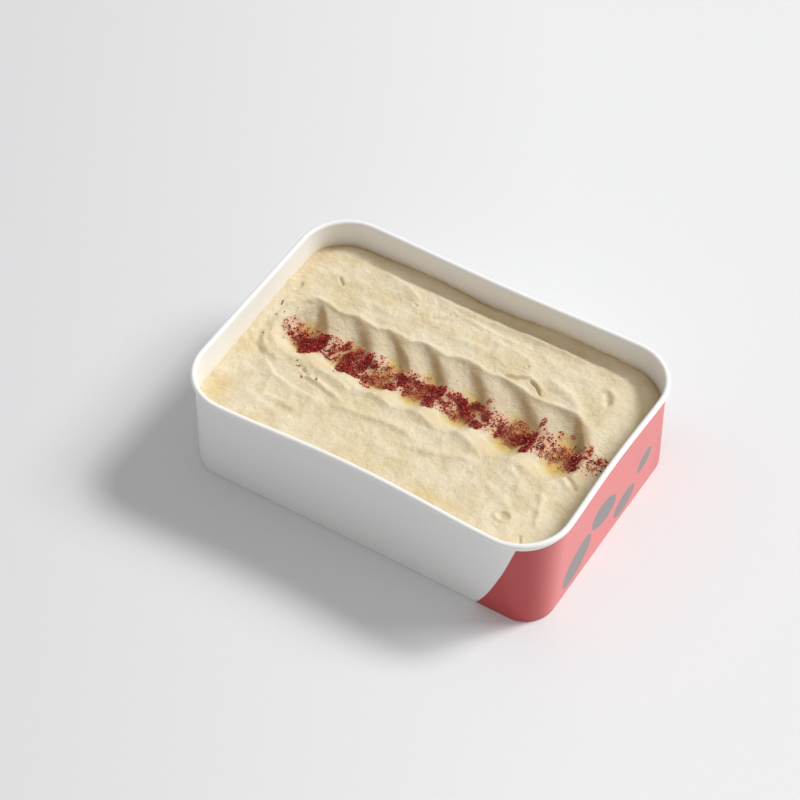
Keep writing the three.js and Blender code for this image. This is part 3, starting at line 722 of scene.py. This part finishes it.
def make_floor():
    corners = [(x * FLOOR_HALF, y * FLOOR_HALF, 0) for x, y in ((-1, -1), (1, -1), (1, 1), (-1, 1))]
    floor = make_object("floor", corners, [(0, 1, 2, 3)])
    shader = Shader("floor_card")
    place = shader.place()
    sideways = shader.add("ShaderNodeVectorMath", {0: place, 1: FLOOR_TO_RIGHT}, operation="DOT_PRODUCT")
    # Painted falloff of the light: the card darkens towards the left
    across = shader.ramp(sideways.outputs["Value"], *FLOOR_LIGHT_FALLOFF, kind="LINEAR")
    base = shader.mix(across, colour(*FLOOR_LEFT_COLOUR), colour(*FLOOR_RIGHT_COLOUR))
    fleck = shader.ramp(shader.noise(place, 0.6, 4.0, 0.7), 0.35, 0.65, FLECK_DARKEST, 1.0)
    grey = shader.add("ShaderNodeCombineColor", {0: fleck, 1: fleck, 2: fleck}).outputs[0]
    base = shader.mix(1.0, base, grey, "MULTIPLY")
    shader.principled({"Base Color": base, "Roughness": 0.85, "Specular IOR Level": 0.2})
    floor.data.materials.append(shader.material)


# Print: a red field round the right end. Its edge climbs in a curve between two lines across the corner.
PRINT_EDGE_LOW = -7.0
PRINT_EDGE_HIGH = 27.0
PRINT_EDGE_Z = (-3.0, 56.0)
PRINT_EDGE_SOFTNESS = 0.12
PRINT_TOP = 47.3
# The red turns lighter and pinker from the front onto the end: painted light and painted reflection of the
# lit end face
PRINT_PAINTED_LIGHT_FROM = (20.0, 50.0)
PRINT_FRONT_COLOUR = (190, 68, 70)
PRINT_END_PAINTED_LIGHT_COLOUR = (234, 138, 138)
# Grey pebbles on the end: middle and half sizes along y and z, and turn in degrees
PEBBLE_X = 84.0
PEBBLE_DEPTH = 12.0
PEBBLE_EDGE = 1.03
PEBBLE_COLOUR = (146, 142, 142)
PEBBLES = (
    (-25.0, 12.5, 12.0, 7.0, 28.0),
    (-4.0, 21.0, 10.0, 6.5, -14.0),
    (14.0, 9.0, 8.5, 5.2, 12.0),
    (29.0, 20.0, 6.0, 4.0, 34.0),
)


# Board: darkest and lightest tone of the plain sides and of the printed ones, and the colour of the film of
# hummus with its painted contact shade. The plain white is painted lighter than the printed one: painted
# bounce light on the inside, painted shade on the outside.
PLAIN_PAINTED_LIGHT_TONES = ((243, 242, 240), (246, 245, 243))
PRINTED_PAINTED_SHADE_TONES = ((236, 236, 235), (241, 241, 240))
FILM_AND_CONTACT_SHADE_COLOUR = (224, 196, 154)


def print_colour(shader, place, white):
    """Colour of the printed board: the red field and the pebbles over the white."""
    split = shader.add("ShaderNodeSeparateXYZ", {0: place})
    x, y, z = split.outputs
    inward = shader.maths("SUBTRACT", x, shader.maths("ABSOLUTE", y))
    edge = shader.ramp(inward, PRINT_EDGE_LOW, PRINT_EDGE_HIGH, *PRINT_EDGE_Z, "SMOOTHERSTEP")
    field = shader.ramp(shader.maths("SUBTRACT", edge, z), -PRINT_EDGE_SOFTNESS, PRINT_EDGE_SOFTNESS)
    # Painted light and reflection: the red lightens towards the lit end face
    end = shader.ramp(inward, *PRINT_PAINTED_LIGHT_FROM)
    red = shader.mix(end, colour(*PRINT_FRONT_COLOUR), colour(*PRINT_END_PAINTED_LIGHT_COLOUR))
    printed = shader.mix(field, white, red)
    nearest = None
    for middle_y, middle_z, half_y, half_z, turn in PEBBLES:
        mapping = {
            "Vector": place,
            "Location": (PEBBLE_X, middle_y, middle_z),
            "Rotation": (math.radians(turn), 0, 0),
            "Scale": (PEBBLE_DEPTH, half_y, half_z),
        }
        moved = shader.add("ShaderNodeMapping", mapping, vector_type="TEXTURE").outputs[0]
        away = shader.add("ShaderNodeVectorMath", {0: moved}, operation="LENGTH").outputs["Value"]
        nearest = away if nearest is None else shader.maths("MINIMUM", nearest, away)
    pebble = shader.ramp(nearest, 1.0, PEBBLE_EDGE, 1.0, 0.0)
    return shader.mix(pebble, printed, colour(*PEBBLE_COLOUR))


def board_material(name, printed):
    """Coated board: with the print, or plain with a film of hummus and painted contact shade where one
    clings.
    """
    shader = Shader(name)
    # Painted bounce light and painted shade: the plain white is lighter than the printed white
    dark, light = PRINTED_PAINTED_SHADE_TONES if printed else PLAIN_PAINTED_LIGHT_TONES
    place = shader.place()
    fibres = shader.noise(place, 0.9, 4.0, 0.6)
    white = shader.mix(shader.ramp(fibres, 0.3, 0.7), colour(*dark), colour(*light))
    if printed:
        base = print_colour(shader, place, white)
    else:
        # Film of hummus with painted contact shade on the plain inner wall
        smudge = shader.ramp(shader.noise(place, 0.35, 3.0, 0.6), 0.3, 0.7, 0.5, 1.3, "LINEAR")
        film_and_contact_shade = shader.maths("MULTIPLY", shader.value("film_and_contact_shade"), smudge, clamp=True)
        base = shader.mix(film_and_contact_shade, white, colour(*FILM_AND_CONTACT_SHADE_COLOUR))
    dimple = shader.noise(place, 1.6, 3.0, 0.6)
    soft = shader.noise(place, 0.06, 2.0, 0.5)
    height = shader.maths("ADD", shader.maths("MULTIPLY", dimple, 0.25), soft)
    shader.principled({
        "Base Color": base,
        "Roughness": shader.ramp(fibres, 0.3, 0.7, 0.38, 0.5),
        "Specular IOR Level": 0.45,
        "Normal": shader.bump(height, 0.1, 0.25),
    })
    return shader.material


# Rows of the inner wall where a film of hummus clings above the spread, thicker towards the back. Its tan
# colour is partly the film and partly painted contact shade, fading with height above the hummus.
FILM_TOP = 46.5
FILM_ROW = 0.6
FILM_ROWS = 22
FILM_AND_SHADE_HEIGHT = 1.5
FILM_AND_SHADE_LEAST = 0.35
FILM_AND_SHADE_BACK_FROM_Y = (30.0, 50.0)
# Heights of the rings of the wall, and the steps of its curves
OUTER_HEIGHTS = (8.0, 16.0, 24.0, 32.0, 40.0, 45.5)
INNER_HEIGHTS = (30.0, 20.0, 8.0)
FOOT_CHAMFER = 0.25
FOOT_INNER_EDGE = 1.6
FOOT_STEPS = 4
BEAD_STEPS = 20
BEAD_START = -0.62
FILLET_STEPS = 5


def tub_profile():
    """Section of the tub from under the foot over the rim to the floor: height, offset, printable or not."""
    profile = [(FOOT_RECESS, -FOOT_RING_WIDTH, False), (FOOT_CHAMFER, -FOOT_RING_WIDTH, False)]
    profile += [(0.0, -FOOT_RING_WIDTH + FOOT_CHAMFER, False), (0.0, -FOOT_INNER_EDGE, False)]
    for k in range(FOOT_STEPS + 1):
        angle = math.pi / 2 * k / FOOT_STEPS
        rise = FOOT_ROUNDING * (1 - math.cos(angle))
        profile.append((rise, FOOT_ROUNDING * (math.sin(angle) - 1), k > 1))
    profile += [(z, 0.0, True) for z in OUTER_HEIGHTS]
    for k in range(BEAD_STEPS + 1):
        angle = math.pi * (BEAD_START + (1 - BEAD_START) * k / BEAD_STEPS)
        z = TUB_HEIGHT - BEAD_RADIUS + BEAD_RADIUS * math.sin(angle)
        profile.append((z, BEAD_RADIUS - WALL + BEAD_RADIUS * math.cos(angle), False))
    profile += [(FILM_TOP - FILM_ROW * k, -WALL, False) for k in range(FILM_ROWS)]
    profile += [(z, -WALL, False) for z in INNER_HEIGHTS]
    for k in range(FILLET_STEPS + 1):
        angle = math.pi / 2 * k / FILLET_STEPS
        z = FOOT_RECESS + FLOOR + FLOOR_FILLET * (1 - math.sin(angle))
        profile.append((z, -WALL - FLOOR_FILLET * (1 - math.cos(angle)), False))
    return profile


def make_tub():
    profile = tub_profile()
    rings = [wall_ring(z, offset) for z, offset, _ in profile]
    count = len(rings[0])
    vertices = [point for ring in rings for point in ring]
    bottom = len(vertices)
    vertices += [(0, 0, profile[0][0]), (0, 0, profile[-1][0])]
    numbers = np.arange(bottom).reshape(len(rings), count)
    faces = [quad for lower, upper in zip(numbers[:-1], numbers[1:]) for quad in band(lower, upper)]
    printed = [low[2] and high[0] < PRINT_TOP for low, high in zip(profile[:-1], profile[1:])]
    printed = [flag for flag in printed for _ in range(count)] + [False] * 2 * count
    faces += fan(bottom, numbers[0][::-1]) + fan(bottom + 1, numbers[-1])
    tub = make_object("board_tub", vertices, faces)
    x, y, z = np.array(vertices).T
    above = z - hummus_surface(x, y)
    # Film of hummus with painted contact shade: tan just above the hummus, fading with height
    film_and_contact_shade = np.exp(-(np.maximum(above, 0) / FILM_AND_SHADE_HEIGHT)) * (wall_distance(x, y, z) < -WALL / 2)
    film_and_contact_shade = film_and_contact_shade * (z > FILM_TOP - FILM_ROW * FILM_ROWS) * (z < FILM_TOP)
    point_values(tub, "film_and_contact_shade", film_and_contact_shade * (FILM_AND_SHADE_LEAST + (1 - FILM_AND_SHADE_LEAST) * smooth_step(*FILM_AND_SHADE_BACK_FROM_Y, y)))
    tub.data.materials.append(board_material("board_plain", False))
    tub.data.materials.append(board_material("board_printed", True))
    tub.data.polygons.foreach_set("material_index", [int(flag) for flag in printed])
    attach(tub, "root")
    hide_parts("tub")


# Grid of the visible hummus
GRID_STEP = 0.445
GRID_MARGIN = 0.1
HUMMUS_INTO_WALL = 0.35
HUMMUS_RING_HEIGHTS = (26.0, 14.0, 5.0, 2.3)
# Colours of the paste: pale and warm clouds, specks, what the sumac's oil and powder leave on it
PASTE_PALE = (240, 227, 197)
PASTE_WARM = (230, 212, 172)
PASTE_SPECK = (216, 188, 136)
STAIN_COLOUR = (232, 150, 114)
POWDER_COLOUR = (142, 38, 34)
# Tints of places that point values mark: share and colour. The oily tint is oil on the paste; the edge, row
# and crease tints are painted shade.
PASTE_TINTS = (
    ("edge", 0.6, (222, 198, 156)),
    ("oily", 0.7, (226, 199, 138)),
    ("row", 0.5, (204, 186, 158)),
    ("crease_shade", 0.75, (190, 152, 100)),
)
PASTE_ROUGHNESS = (0.55, 0.28)
PASTE_GLOW_DEPTH = 1.6
PASTE_GRAIN_DEPTH = 0.42


def hummus_material():
    shader = Shader("hummus_paste")
    place = shader.place()
    cloud = shader.noise(place, 0.09, 3.0, 0.6)
    base = shader.mix(shader.ramp(cloud, 0.35, 0.68), colour(*PASTE_PALE), colour(*PASTE_WARM))
    speck = shader.noise(place, 1.7, 3.0, 0.7)
    base = shader.mix(shader.ramp(speck, 0.54, 0.68, 0.0, 0.4), base, colour(*PASTE_SPECK))
    for name, share, tint in PASTE_TINTS:
        base = shader.mix(shader.maths("MULTIPLY", shader.value(name), share), base, colour(*tint))
    stain_noise = shader.ramp(shader.noise(place, 0.7, 3.0, 0.6), 0.3, 0.7, 0.7, 1.0)
    stain = shader.maths("MULTIPLY", shader.value("stain"), stain_noise)
    base = shader.mix(stain, base, colour(*STAIN_COLOUR))
    base = shader.mix(shader.value("powder"), base, colour(*POWDER_COLOUR))
    seed = shader.noise(place, 2.6, 4.0, 0.65)
    grainy = shader.noise(place, 1.5, 3.0, 0.6)
    height = shader.maths("ADD", seed, grainy)
    shader.principled({
        "Base Color": base,
        "Roughness": shader.ramp(shader.value("wet"), 0.0, 1.0, *PASTE_ROUGHNESS, "LINEAR"),
        "Specular IOR Level": 0.4,
        "Subsurface Weight": 0.16,
        "Subsurface Radius": (1.0, 0.75, 0.45),
        "Subsurface Scale": PASTE_GLOW_DEPTH * MM,
        "Normal": shader.bump(height, PASTE_GRAIN_DEPTH, 0.9),
    })
    return shader.material


def whole_cells(inside):
    """Cells of a grid that have all four corners inside."""
    return inside[:-1, :-1] & inside[1:, :-1] & inside[:-1, 1:] & inside[1:, 1:]


def grid_quads(cells):
    """Quads of the chosen cells of a grid, and the grid's numbers of the vertices that they use."""
    rows, columns = cells.shape[0] + 1, cells.shape[1] + 1
    number = np.arange(rows * columns).reshape(rows, columns)
    quads = np.stack([number[:-1, :-1], number[:-1, 1:], number[1:, 1:], number[1:, :-1]], -1)[cells]
    used, flat = np.unique(quads, return_inverse=True)
    return flat.reshape(-1, 4), used


def open_edges(quads):
    """Edges of a patch that only one quad has."""
    edges = np.concatenate([quads[:, [0, 1]], quads[:, [1, 2]], quads[:, [2, 3]], quads[:, [3, 0]]])
    seen = {tuple(edge) for edge in edges.tolist()}
    return [(a, b) for a, b in sorted(seen) if (b, a) not in seen]


def boundary_loop(quads):
    """Vertices round the edge of a patch, in order."""
    following = dict(open_edges(quads))
    start = next(iter(following))
    loop = [start]
    while following[loop[-1]] != start:
        loop.append(following[loop[-1]])
    return np.array(loop)


def pull_to_wall(x, y, z, offset):
    """Moves points across the wall until they lie at an offset from its outside."""
    step = 0.05
    least_slope = 0.2
    for _ in range(4):
        distance = wall_distance(x, y, z) - offset
        slope_x = (wall_distance(x + step, y, z) - wall_distance(x - step, y, z)) / (2 * step)
        slope_y = (wall_distance(x, y + step, z) - wall_distance(x, y - step, z)) / (2 * step)
        size = np.maximum(slope_x**2 + slope_y**2, least_slope)
        x = x - distance * slope_x / size
        y = y - distance * slope_y / size
    return x, y


def hummus_mesh():
    """The surface out to the wall, rings down the wall and a flat underside: vertices and faces."""
    xs = np.arange(-RIM_LENGTH / 2, RIM_LENGTH / 2, GRID_STEP)
    ys = np.arange(-RIM_WIDTH / 2, RIM_WIDTH / 2, GRID_STEP)
    x, y = np.meshgrid(xs, ys)
    z = hummus_surface(x, y)
    inside = wall_distance(x, y, z) < -HUMMUS_INTO_WALL - GRID_MARGIN
    quads, used = grid_quads(whole_cells(inside))
    px, py, pz = x.ravel()[used], y.ravel()[used], z.ravel()[used]
    loop = boundary_loop(quads)
    px[loop], py[loop] = pull_to_wall(px[loop], py[loop], pz[loop], -HUMMUS_INTO_WALL)
    pz[loop] = hummus_surface(px[loop], py[loop])
    layers = [np.stack([px, py, pz], -1)]
    faces = quads.tolist()
    upper = loop
    ring_x, ring_y = px[loop], py[loop]
    start = len(px)
    for height in HUMMUS_RING_HEIGHTS:
        ring_x, ring_y = pull_to_wall(ring_x, ring_y, height, -HUMMUS_INTO_WALL)
        layers.append(np.stack([ring_x, ring_y, np.full(len(loop), height)], -1))
        lower = start + np.arange(len(loop))
        faces += band(lower, upper)
        upper = lower
        start += len(loop)
    layers.append(np.array([[0, 0, HUMMUS_RING_HEIGHTS[-1]]]))
    faces += fan(start, upper[::-1])
    return np.concatenate(layers), faces


# Marks on the paste. Sumac: the stain and the powder under it, by how thickly it lies
SUMAC_LOWEST_Z = 30.0
STAIN_GAIN = 1.05
STAIN_POWER = 0.45
POWDER_MOST = 0.85
POWDER_FROM = (0.4, 0.9)
# Painted shade: a darker, warmer edge along the back and right walls, where their shadow falls
WALL_SHADE_FROM_WALL = (-8.5, -3.5)
WALL_SHADE_FROM_Y = (20.0, 40.0)
WALL_SHADE_FROM_X = (66.0, 74.0)
WALL_SHADE_RIGHT_FROM_Y = (-30.0, 10.0)
# Oily spots and the glossy one: middle and half sizes
OILY_CORNER = (-76.0, -40.0, 5.0, 7.0)
OILY_PATCH = (30.0, -45.5, 9.0, 2.2)
GLOSSY_SPOT = (72.0, 33.0, 8.0, 10.0)
ROW_GLOSS = 0.35
ROW_GLOSS_FADE = (1.0, 1.5)
# Painted shade on the slopes behind the row, and darker painted shade in the creases where they turn steep
BEHIND_FROM_Y = (2.0, 7.0)
BEHIND_FADE = (0.92, 1.02)
ROW_LEFT_END = (-74.0, -66.0)
ROW_RIGHT_END = (64.0, 72.0)
CREASE_SHADE_STEEPNESS = 0.4


def mark_hummus(hummus, x, y, z):
    """Point values that the paste's material reads."""
    density = np.where(z > SUMAC_LOWEST_Z, sumac_density(x, y), 0)
    point_values(hummus, "stain", np.clip(STAIN_GAIN * density**STAIN_POWER, 0, 1))
    point_values(hummus, "powder", POWDER_MOST * smooth_step(*POWDER_FROM, density))
    # Painted shade along the back and right walls, where their shadow falls
    right = smooth_step(*WALL_SHADE_FROM_X, x) * smooth_step(*WALL_SHADE_RIGHT_FROM_Y, y)
    far_side = np.maximum(smooth_step(*WALL_SHADE_FROM_Y, y), right)
    point_values(hummus, "edge", smooth_step(*WALL_SHADE_FROM_WALL, wall_distance(x, y, z)) * far_side)
    corner = np.exp(-oval_away(x, y, OILY_CORNER) ** 1.5)
    point_values(hummus, "oily", np.clip(corner + np.exp(-oval_away(x, y, OILY_PATCH)), 0, 1))
    across = across_row(x, y, GROOVE_REACH_FRONT)
    row_gloss = ROW_GLOSS * (1 - smooth_step(*ROW_GLOSS_FADE, np.abs(across)))
    point_values(hummus, "wet", np.clip(np.exp(-oval_away(x, y, GLOSSY_SPOT)) + row_gloss, 0, 1))
    # Painted shade in the creases, where the dents' steep right walls turn from the light
    steepness = back_of_dents(x + 0.5, y) - back_of_dents(x - 0.5, y)
    behind = smooth_step(*BEHIND_FROM_Y, y) * (1 - smooth_step(*BEHIND_FADE, across))
    point_values(hummus, "crease_shade", np.clip(steepness / CREASE_SHADE_STEEPNESS, 0, 1) * behind)
    # Painted shade on the slopes behind the row
    point_values(hummus, "row", behind * between(ROW_LEFT_END, ROW_RIGHT_END, x))


def make_hummus():
    vertices, faces = hummus_mesh()
    hummus = make_object("hummus_paste", vertices, faces)
    mark_hummus(hummus, *vertices.T)
    hummus.data.materials.append(hummus_material())
    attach(hummus, "root")
    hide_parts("hummus")


# Oil pools: half sizes of the oval that holds each, how far they reach under the paste at their edge
OIL_STEP = 0.4
OIL_SPAN = (11.5, 16.0)
OIL_BURIED = 0.35
OIL_SKIRT = 0.5
# The oil creeps up a little at its edge
OIL_EDGE_RISE = 0.16
OIL_EDGE_DEPTH = 0.3
OIL_THIN_TINT = (254, 252, 243)
OIL_DEEP_TINT = (248, 237, 200)
OIL_DEEP = 1.5
OIL_ROUGHNESS = 0.06
OIL_IOR = 1.47


def oil_material():
    shader = Shader("olive_oil")
    depth = shader.value("depth")
    tint = shader.mix(shader.ramp(depth, 0.0, OIL_DEEP), colour(*OIL_THIN_TINT), colour(*OIL_DEEP_TINT))
    see_through = shader.add("ShaderNodeBsdfTransparent", {"Color": tint})
    gloss = shader.add("ShaderNodeBsdfGlossy", {"Color": (1, 1, 1, 1), "Roughness": OIL_ROUGHNESS})
    fresnel = shader.add("ShaderNodeFresnel", {"IOR": OIL_IOR})
    inside = shader.add("ShaderNodeNewGeometry").outputs["Backfacing"]
    shine = shader.maths("MULTIPLY", fresnel.outputs[0], shader.maths("SUBTRACT", 1.0, inside))
    both = shader.add("ShaderNodeMixShader", {0: shine, 1: see_through.outputs[0], 2: gloss.outputs[0]})
    shader.feed(shader.output.inputs["Surface"], both.outputs[0])
    return shader.material


def make_pool(index, dent, material):
    middle = dent[0]
    level = oil_level(dent)
    xs = np.arange(middle - OIL_SPAN[0], middle + OIL_SPAN[0], OIL_STEP)
    ys = np.arange(DENT_MIDDLE_Y - OIL_SPAN[1], DENT_MIDDLE_Y + OIL_SPAN[1], OIL_STEP)
    x, y = np.meshgrid(xs, ys)
    ground = hummus_surface(x, y)
    depth = level - ground
    top = level + OIL_EDGE_RISE * np.exp(-np.maximum(depth, 0) / OIL_EDGE_DEPTH)
    wet = (depth > -OIL_BURIED) & (oil_reach(dent, x, y) < 1)
    quads, used = grid_quads(largest_patch(whole_cells(wet)))
    px, py, pz = x.ravel()[used], y.ravel()[used], top.ravel()[used]
    bottom = np.minimum(ground.ravel()[used], pz) - OIL_SKIRT
    vertices = np.concatenate([np.stack([px, py, pz], -1), np.stack([px, py, bottom], -1)])
    count = len(px)
    faces = quads.tolist() + (quads[:, ::-1] + count).tolist()
    faces += [(b, a, a + count, b + count) for a, b in open_edges(quads)]
    pool = make_object(f"oil_pool_{index}", vertices, faces)
    point_values(pool, "depth", np.tile(np.maximum(depth.ravel()[used], 0), 2))
    pool.data.materials.append(material)
    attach(pool, "root")
    names = [name for name in (f"oil_back_{index}", f"oil_front_{index}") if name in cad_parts]
    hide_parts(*names)


def largest_patch(keep):
    """The largest group of neighbouring cells. The first row and column hold none, so no group wraps."""
    assert not (keep[0].any() or keep[:, 0].any())
    label = np.where(keep, np.arange(1, keep.size + 1).reshape(keep.shape), 0)
    before = None
    while not np.array_equal(before, label):
        before = label
        for axis, step in ((0, 1), (0, -1), (1, 1), (1, -1)):
            label = np.where(keep, np.maximum(label, np.roll(label, step, axis)), 0)
    names, sizes = np.unique(label[label > 0], return_counts=True)
    return label == names[sizes.argmax()]


# Sumac: the area it falls on, flakes tried per square millimetre, and how high they heap
SUMAC_X = (-80.0, 81.0)
SUMAC_Y = (-13.0, 17.0)
FLAKES_PER_AREA = 16.0
HEAP_HEIGHT = 1.35
HEAP_POWER = 1.6
CLUMP_LAYERS = ((1.7, 1.7, 0.9, 11), (0.9, 0.9, 0.5, 12))
CLUMP_LIMITS = (0.05, 2.0)
FLAKE_LEAST = 0.3
FLAKE_MORE = 0.7
FLAKE_SIZE_POWER = 2.8
FLAKE_SHAPES = 24
FLAKE_BUMPS = (0.62, 1.25)
FLAKE_STRETCH = ((0.9, 1.35), (0.6, 1.0), (0.3, 0.6))
FLAKE_SINKS = 0.25
# How far the middle of a flake lies above its ground: by its size in the row, and for strays and herbs
FLAKE_LIFT = 0.12
STRAY_LIFT = 0.1
HERB_LIFT = 0.15
SUMAC_SEED = 29
FLAKE_TILT = 0.7
HERB_TILT = 0.3
HERB_DARK = (26, 30, 16)
HERB_LIGHT = (54, 58, 28)
HUSK_COLOUR = (196, 90, 70)
# Kinds of flake: name, share of them all, darkest and lightest colour
FLAKE_KINDS = (
    ("sumac_dark", 0.36, (78, 6, 10), (126, 18, 18)),
    ("sumac_red", 0.42, (138, 22, 22), (180, 40, 34)),
    ("sumac_pale", 0.22, (184, 62, 54), (220, 118, 96)),
)


# Corners less far apart than this share an edge, whose length is two
EDGE_LIMIT = 2.1


def twenty_faces():
    """Corners and faces of the solid with twenty triangles, its edges two units long."""
    ratio = (1 + 5**0.5) / 2
    flat = [(a, b, 0) for b in (ratio, -ratio) for a in (-1, 1)]
    corners = np.concatenate([np.roll(flat, turn, axis=1) for turn in range(3)])
    faces = []
    for a, b, c in itertools.combinations(range(len(corners)), 3):
        first, second, third = corners[a], corners[b], corners[c]
        sides = [np.linalg.norm(side) for side in (second - first, third - second, first - third)]
        if max(sides) < EDGE_LIMIT:
            outward = np.dot(np.cross(second - first, third - first), first) > 0
            faces.append((a, b, c) if outward else (a, c, b))
    return corners / math.hypot(1, ratio) / 2, np.array(faces)


def flake_shapes(random, corners):
    """Irregular flat chips, about one unit wide."""
    shapes = []
    for _ in range(FLAKE_SHAPES):
        radial = random.uniform(*FLAKE_BUMPS, (len(corners), 1))
        stretch = np.array([random.uniform(*limits) for limits in FLAKE_STRETCH])
        shapes.append(corners * radial * stretch)
    return np.array(shapes)


def turned_about(axis, angles):
    """Matrices that turn about one axis."""
    after, before = (axis + 1) % 3, (axis + 2) % 3
    matrices = np.zeros((len(angles), 3, 3))
    matrices[:, axis, axis] = 1
    matrices[:, after, after] = np.cos(angles)
    matrices[:, before, before] = np.cos(angles)
    matrices[:, after, before] = -np.sin(angles)
    matrices[:, before, after] = np.sin(angles)
    return matrices


def rotations(random, count, tilt):
    """Matrices with any heading and a tilt of up to so many radians."""
    heading = random.uniform(0, 2 * math.pi, count)
    lean = random.uniform(-tilt, tilt, count)
    roll = random.uniform(-tilt, tilt, count)
    return turned_about(2, heading) @ turned_about(1, lean) @ turned_about(0, roll)


def flake_material(name, deep, light):
    shader = Shader(name)
    place = shader.place()
    base = shader.mix(shader.value("tone"), colour(*deep), colour(*light))
    husk = shader.ramp(shader.noise(place, 3.4, 2.0, 0.6), 0.6, 0.78, 0.0, 0.25)
    base = shader.mix(husk, base, colour(*HUSK_COLOUR))
    shader.principled({
        "Base Color": base,
        "Roughness": 0.5,
        "Specular IOR Level": 0.22,
        "Normal": shader.bump(shader.noise(place, 5.0, 2.0, 0.6), 0.08, 0.6),
    })
    return shader.material


def make_flakes(name, places, sizes, random, material, tilt):
    """One joined mesh of flakes of the given sizes at the given places."""
    corners, faces = twenty_faces()
    shapes = flake_shapes(random, corners)
    pick = random.integers(0, len(shapes), len(places))
    turns = rotations(random, len(places), tilt)
    stacked = shapes[pick] * sizes[:, None, None]
    vertices = np.einsum("nij,nkj->nki", turns, stacked) + places[:, None, :]
    offsets = len(corners) * np.arange(len(places))[:, None, None]
    all_faces = (faces[None] + offsets).reshape(-1, 3)
    piece = make_object(name, vertices.reshape(-1, 3), all_faces.tolist(), smooth=False)
    point_values(piece, "tone", np.repeat(random.uniform(0, 1, len(places)), len(corners)))
    piece.data.materials.append(material)
    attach(piece, "root")


def ground_with_oil(x, y):
    """Height of the hummus, or of the oil that stands on it."""
    ground = hummus_surface(x, y)
    for dent in DENTS:
        floating = np.maximum(ground, oil_level(dent) - FLAKE_SINKS)
        ground = np.where(oil_reach(dent, x, y) < 1, floating, ground)
    return ground


def make_sumac():
    random = np.random.default_rng(SUMAC_SEED)
    tries = int((SUMAC_X[1] - SUMAC_X[0]) * (SUMAC_Y[1] - SUMAC_Y[0]) * FLAKES_PER_AREA)
    x = random.uniform(*SUMAC_X, tries)
    y = random.uniform(*SUMAC_Y, tries)
    clump = 1 + layered_noise(CLUMP_LAYERS, x, y)
    density = sumac_density(x, y)
    kept = random.uniform(0, 1, tries) < density * np.clip(clump, *CLUMP_LIMITS)
    x, y, density = x[kept], y[kept], density[kept]
    size = FLAKE_LEAST + FLAKE_MORE * random.uniform(0, 1, len(x)) ** FLAKE_SIZE_POWER
    heap = HEAP_HEIGHT * density**HEAP_POWER * random.uniform(0, 1, len(x))
    z = ground_with_oil(x, y) + FLAKE_LIFT * size + heap
    stray = np.array(STRAY_FLAKES)
    x = np.concatenate([x, stray[:, 0]])
    y = np.concatenate([y, stray[:, 1]])
    z = np.concatenate([z, ground_with_oil(stray[:, 0], stray[:, 1]) + STRAY_LIFT])
    size = np.concatenate([size, stray[:, 2]])
    places = np.stack([x, y, z], -1)
    kind = random.uniform(0, 1, len(x))
    low = 0.0
    for name, share, deep, light in FLAKE_KINDS:
        chosen = (kind >= low) & (kind < low + share)
        low += share
        material = flake_material(name, deep, light)
        make_flakes(name, places[chosen], size[chosen], random, material, FLAKE_TILT)
    herbs = np.array(HERB_SPECKS)
    spots = np.stack([herbs[:, 0], herbs[:, 1], ground_with_oil(herbs[:, 0], herbs[:, 1]) + HERB_LIFT], -1)
    material = flake_material("herb_specks", HERB_DARK, HERB_LIGHT)
    make_flakes("herb_specks", spots, herbs[:, 2], random, material, HERB_TILT)


make_camera()
make_light()
make_floor()
make_tub()
make_hummus()
oil = oil_material()
for dent_number, dent_values in enumerate(DENTS, 1):
    make_pool(dent_number, dent_values, oil)
make_sumac()
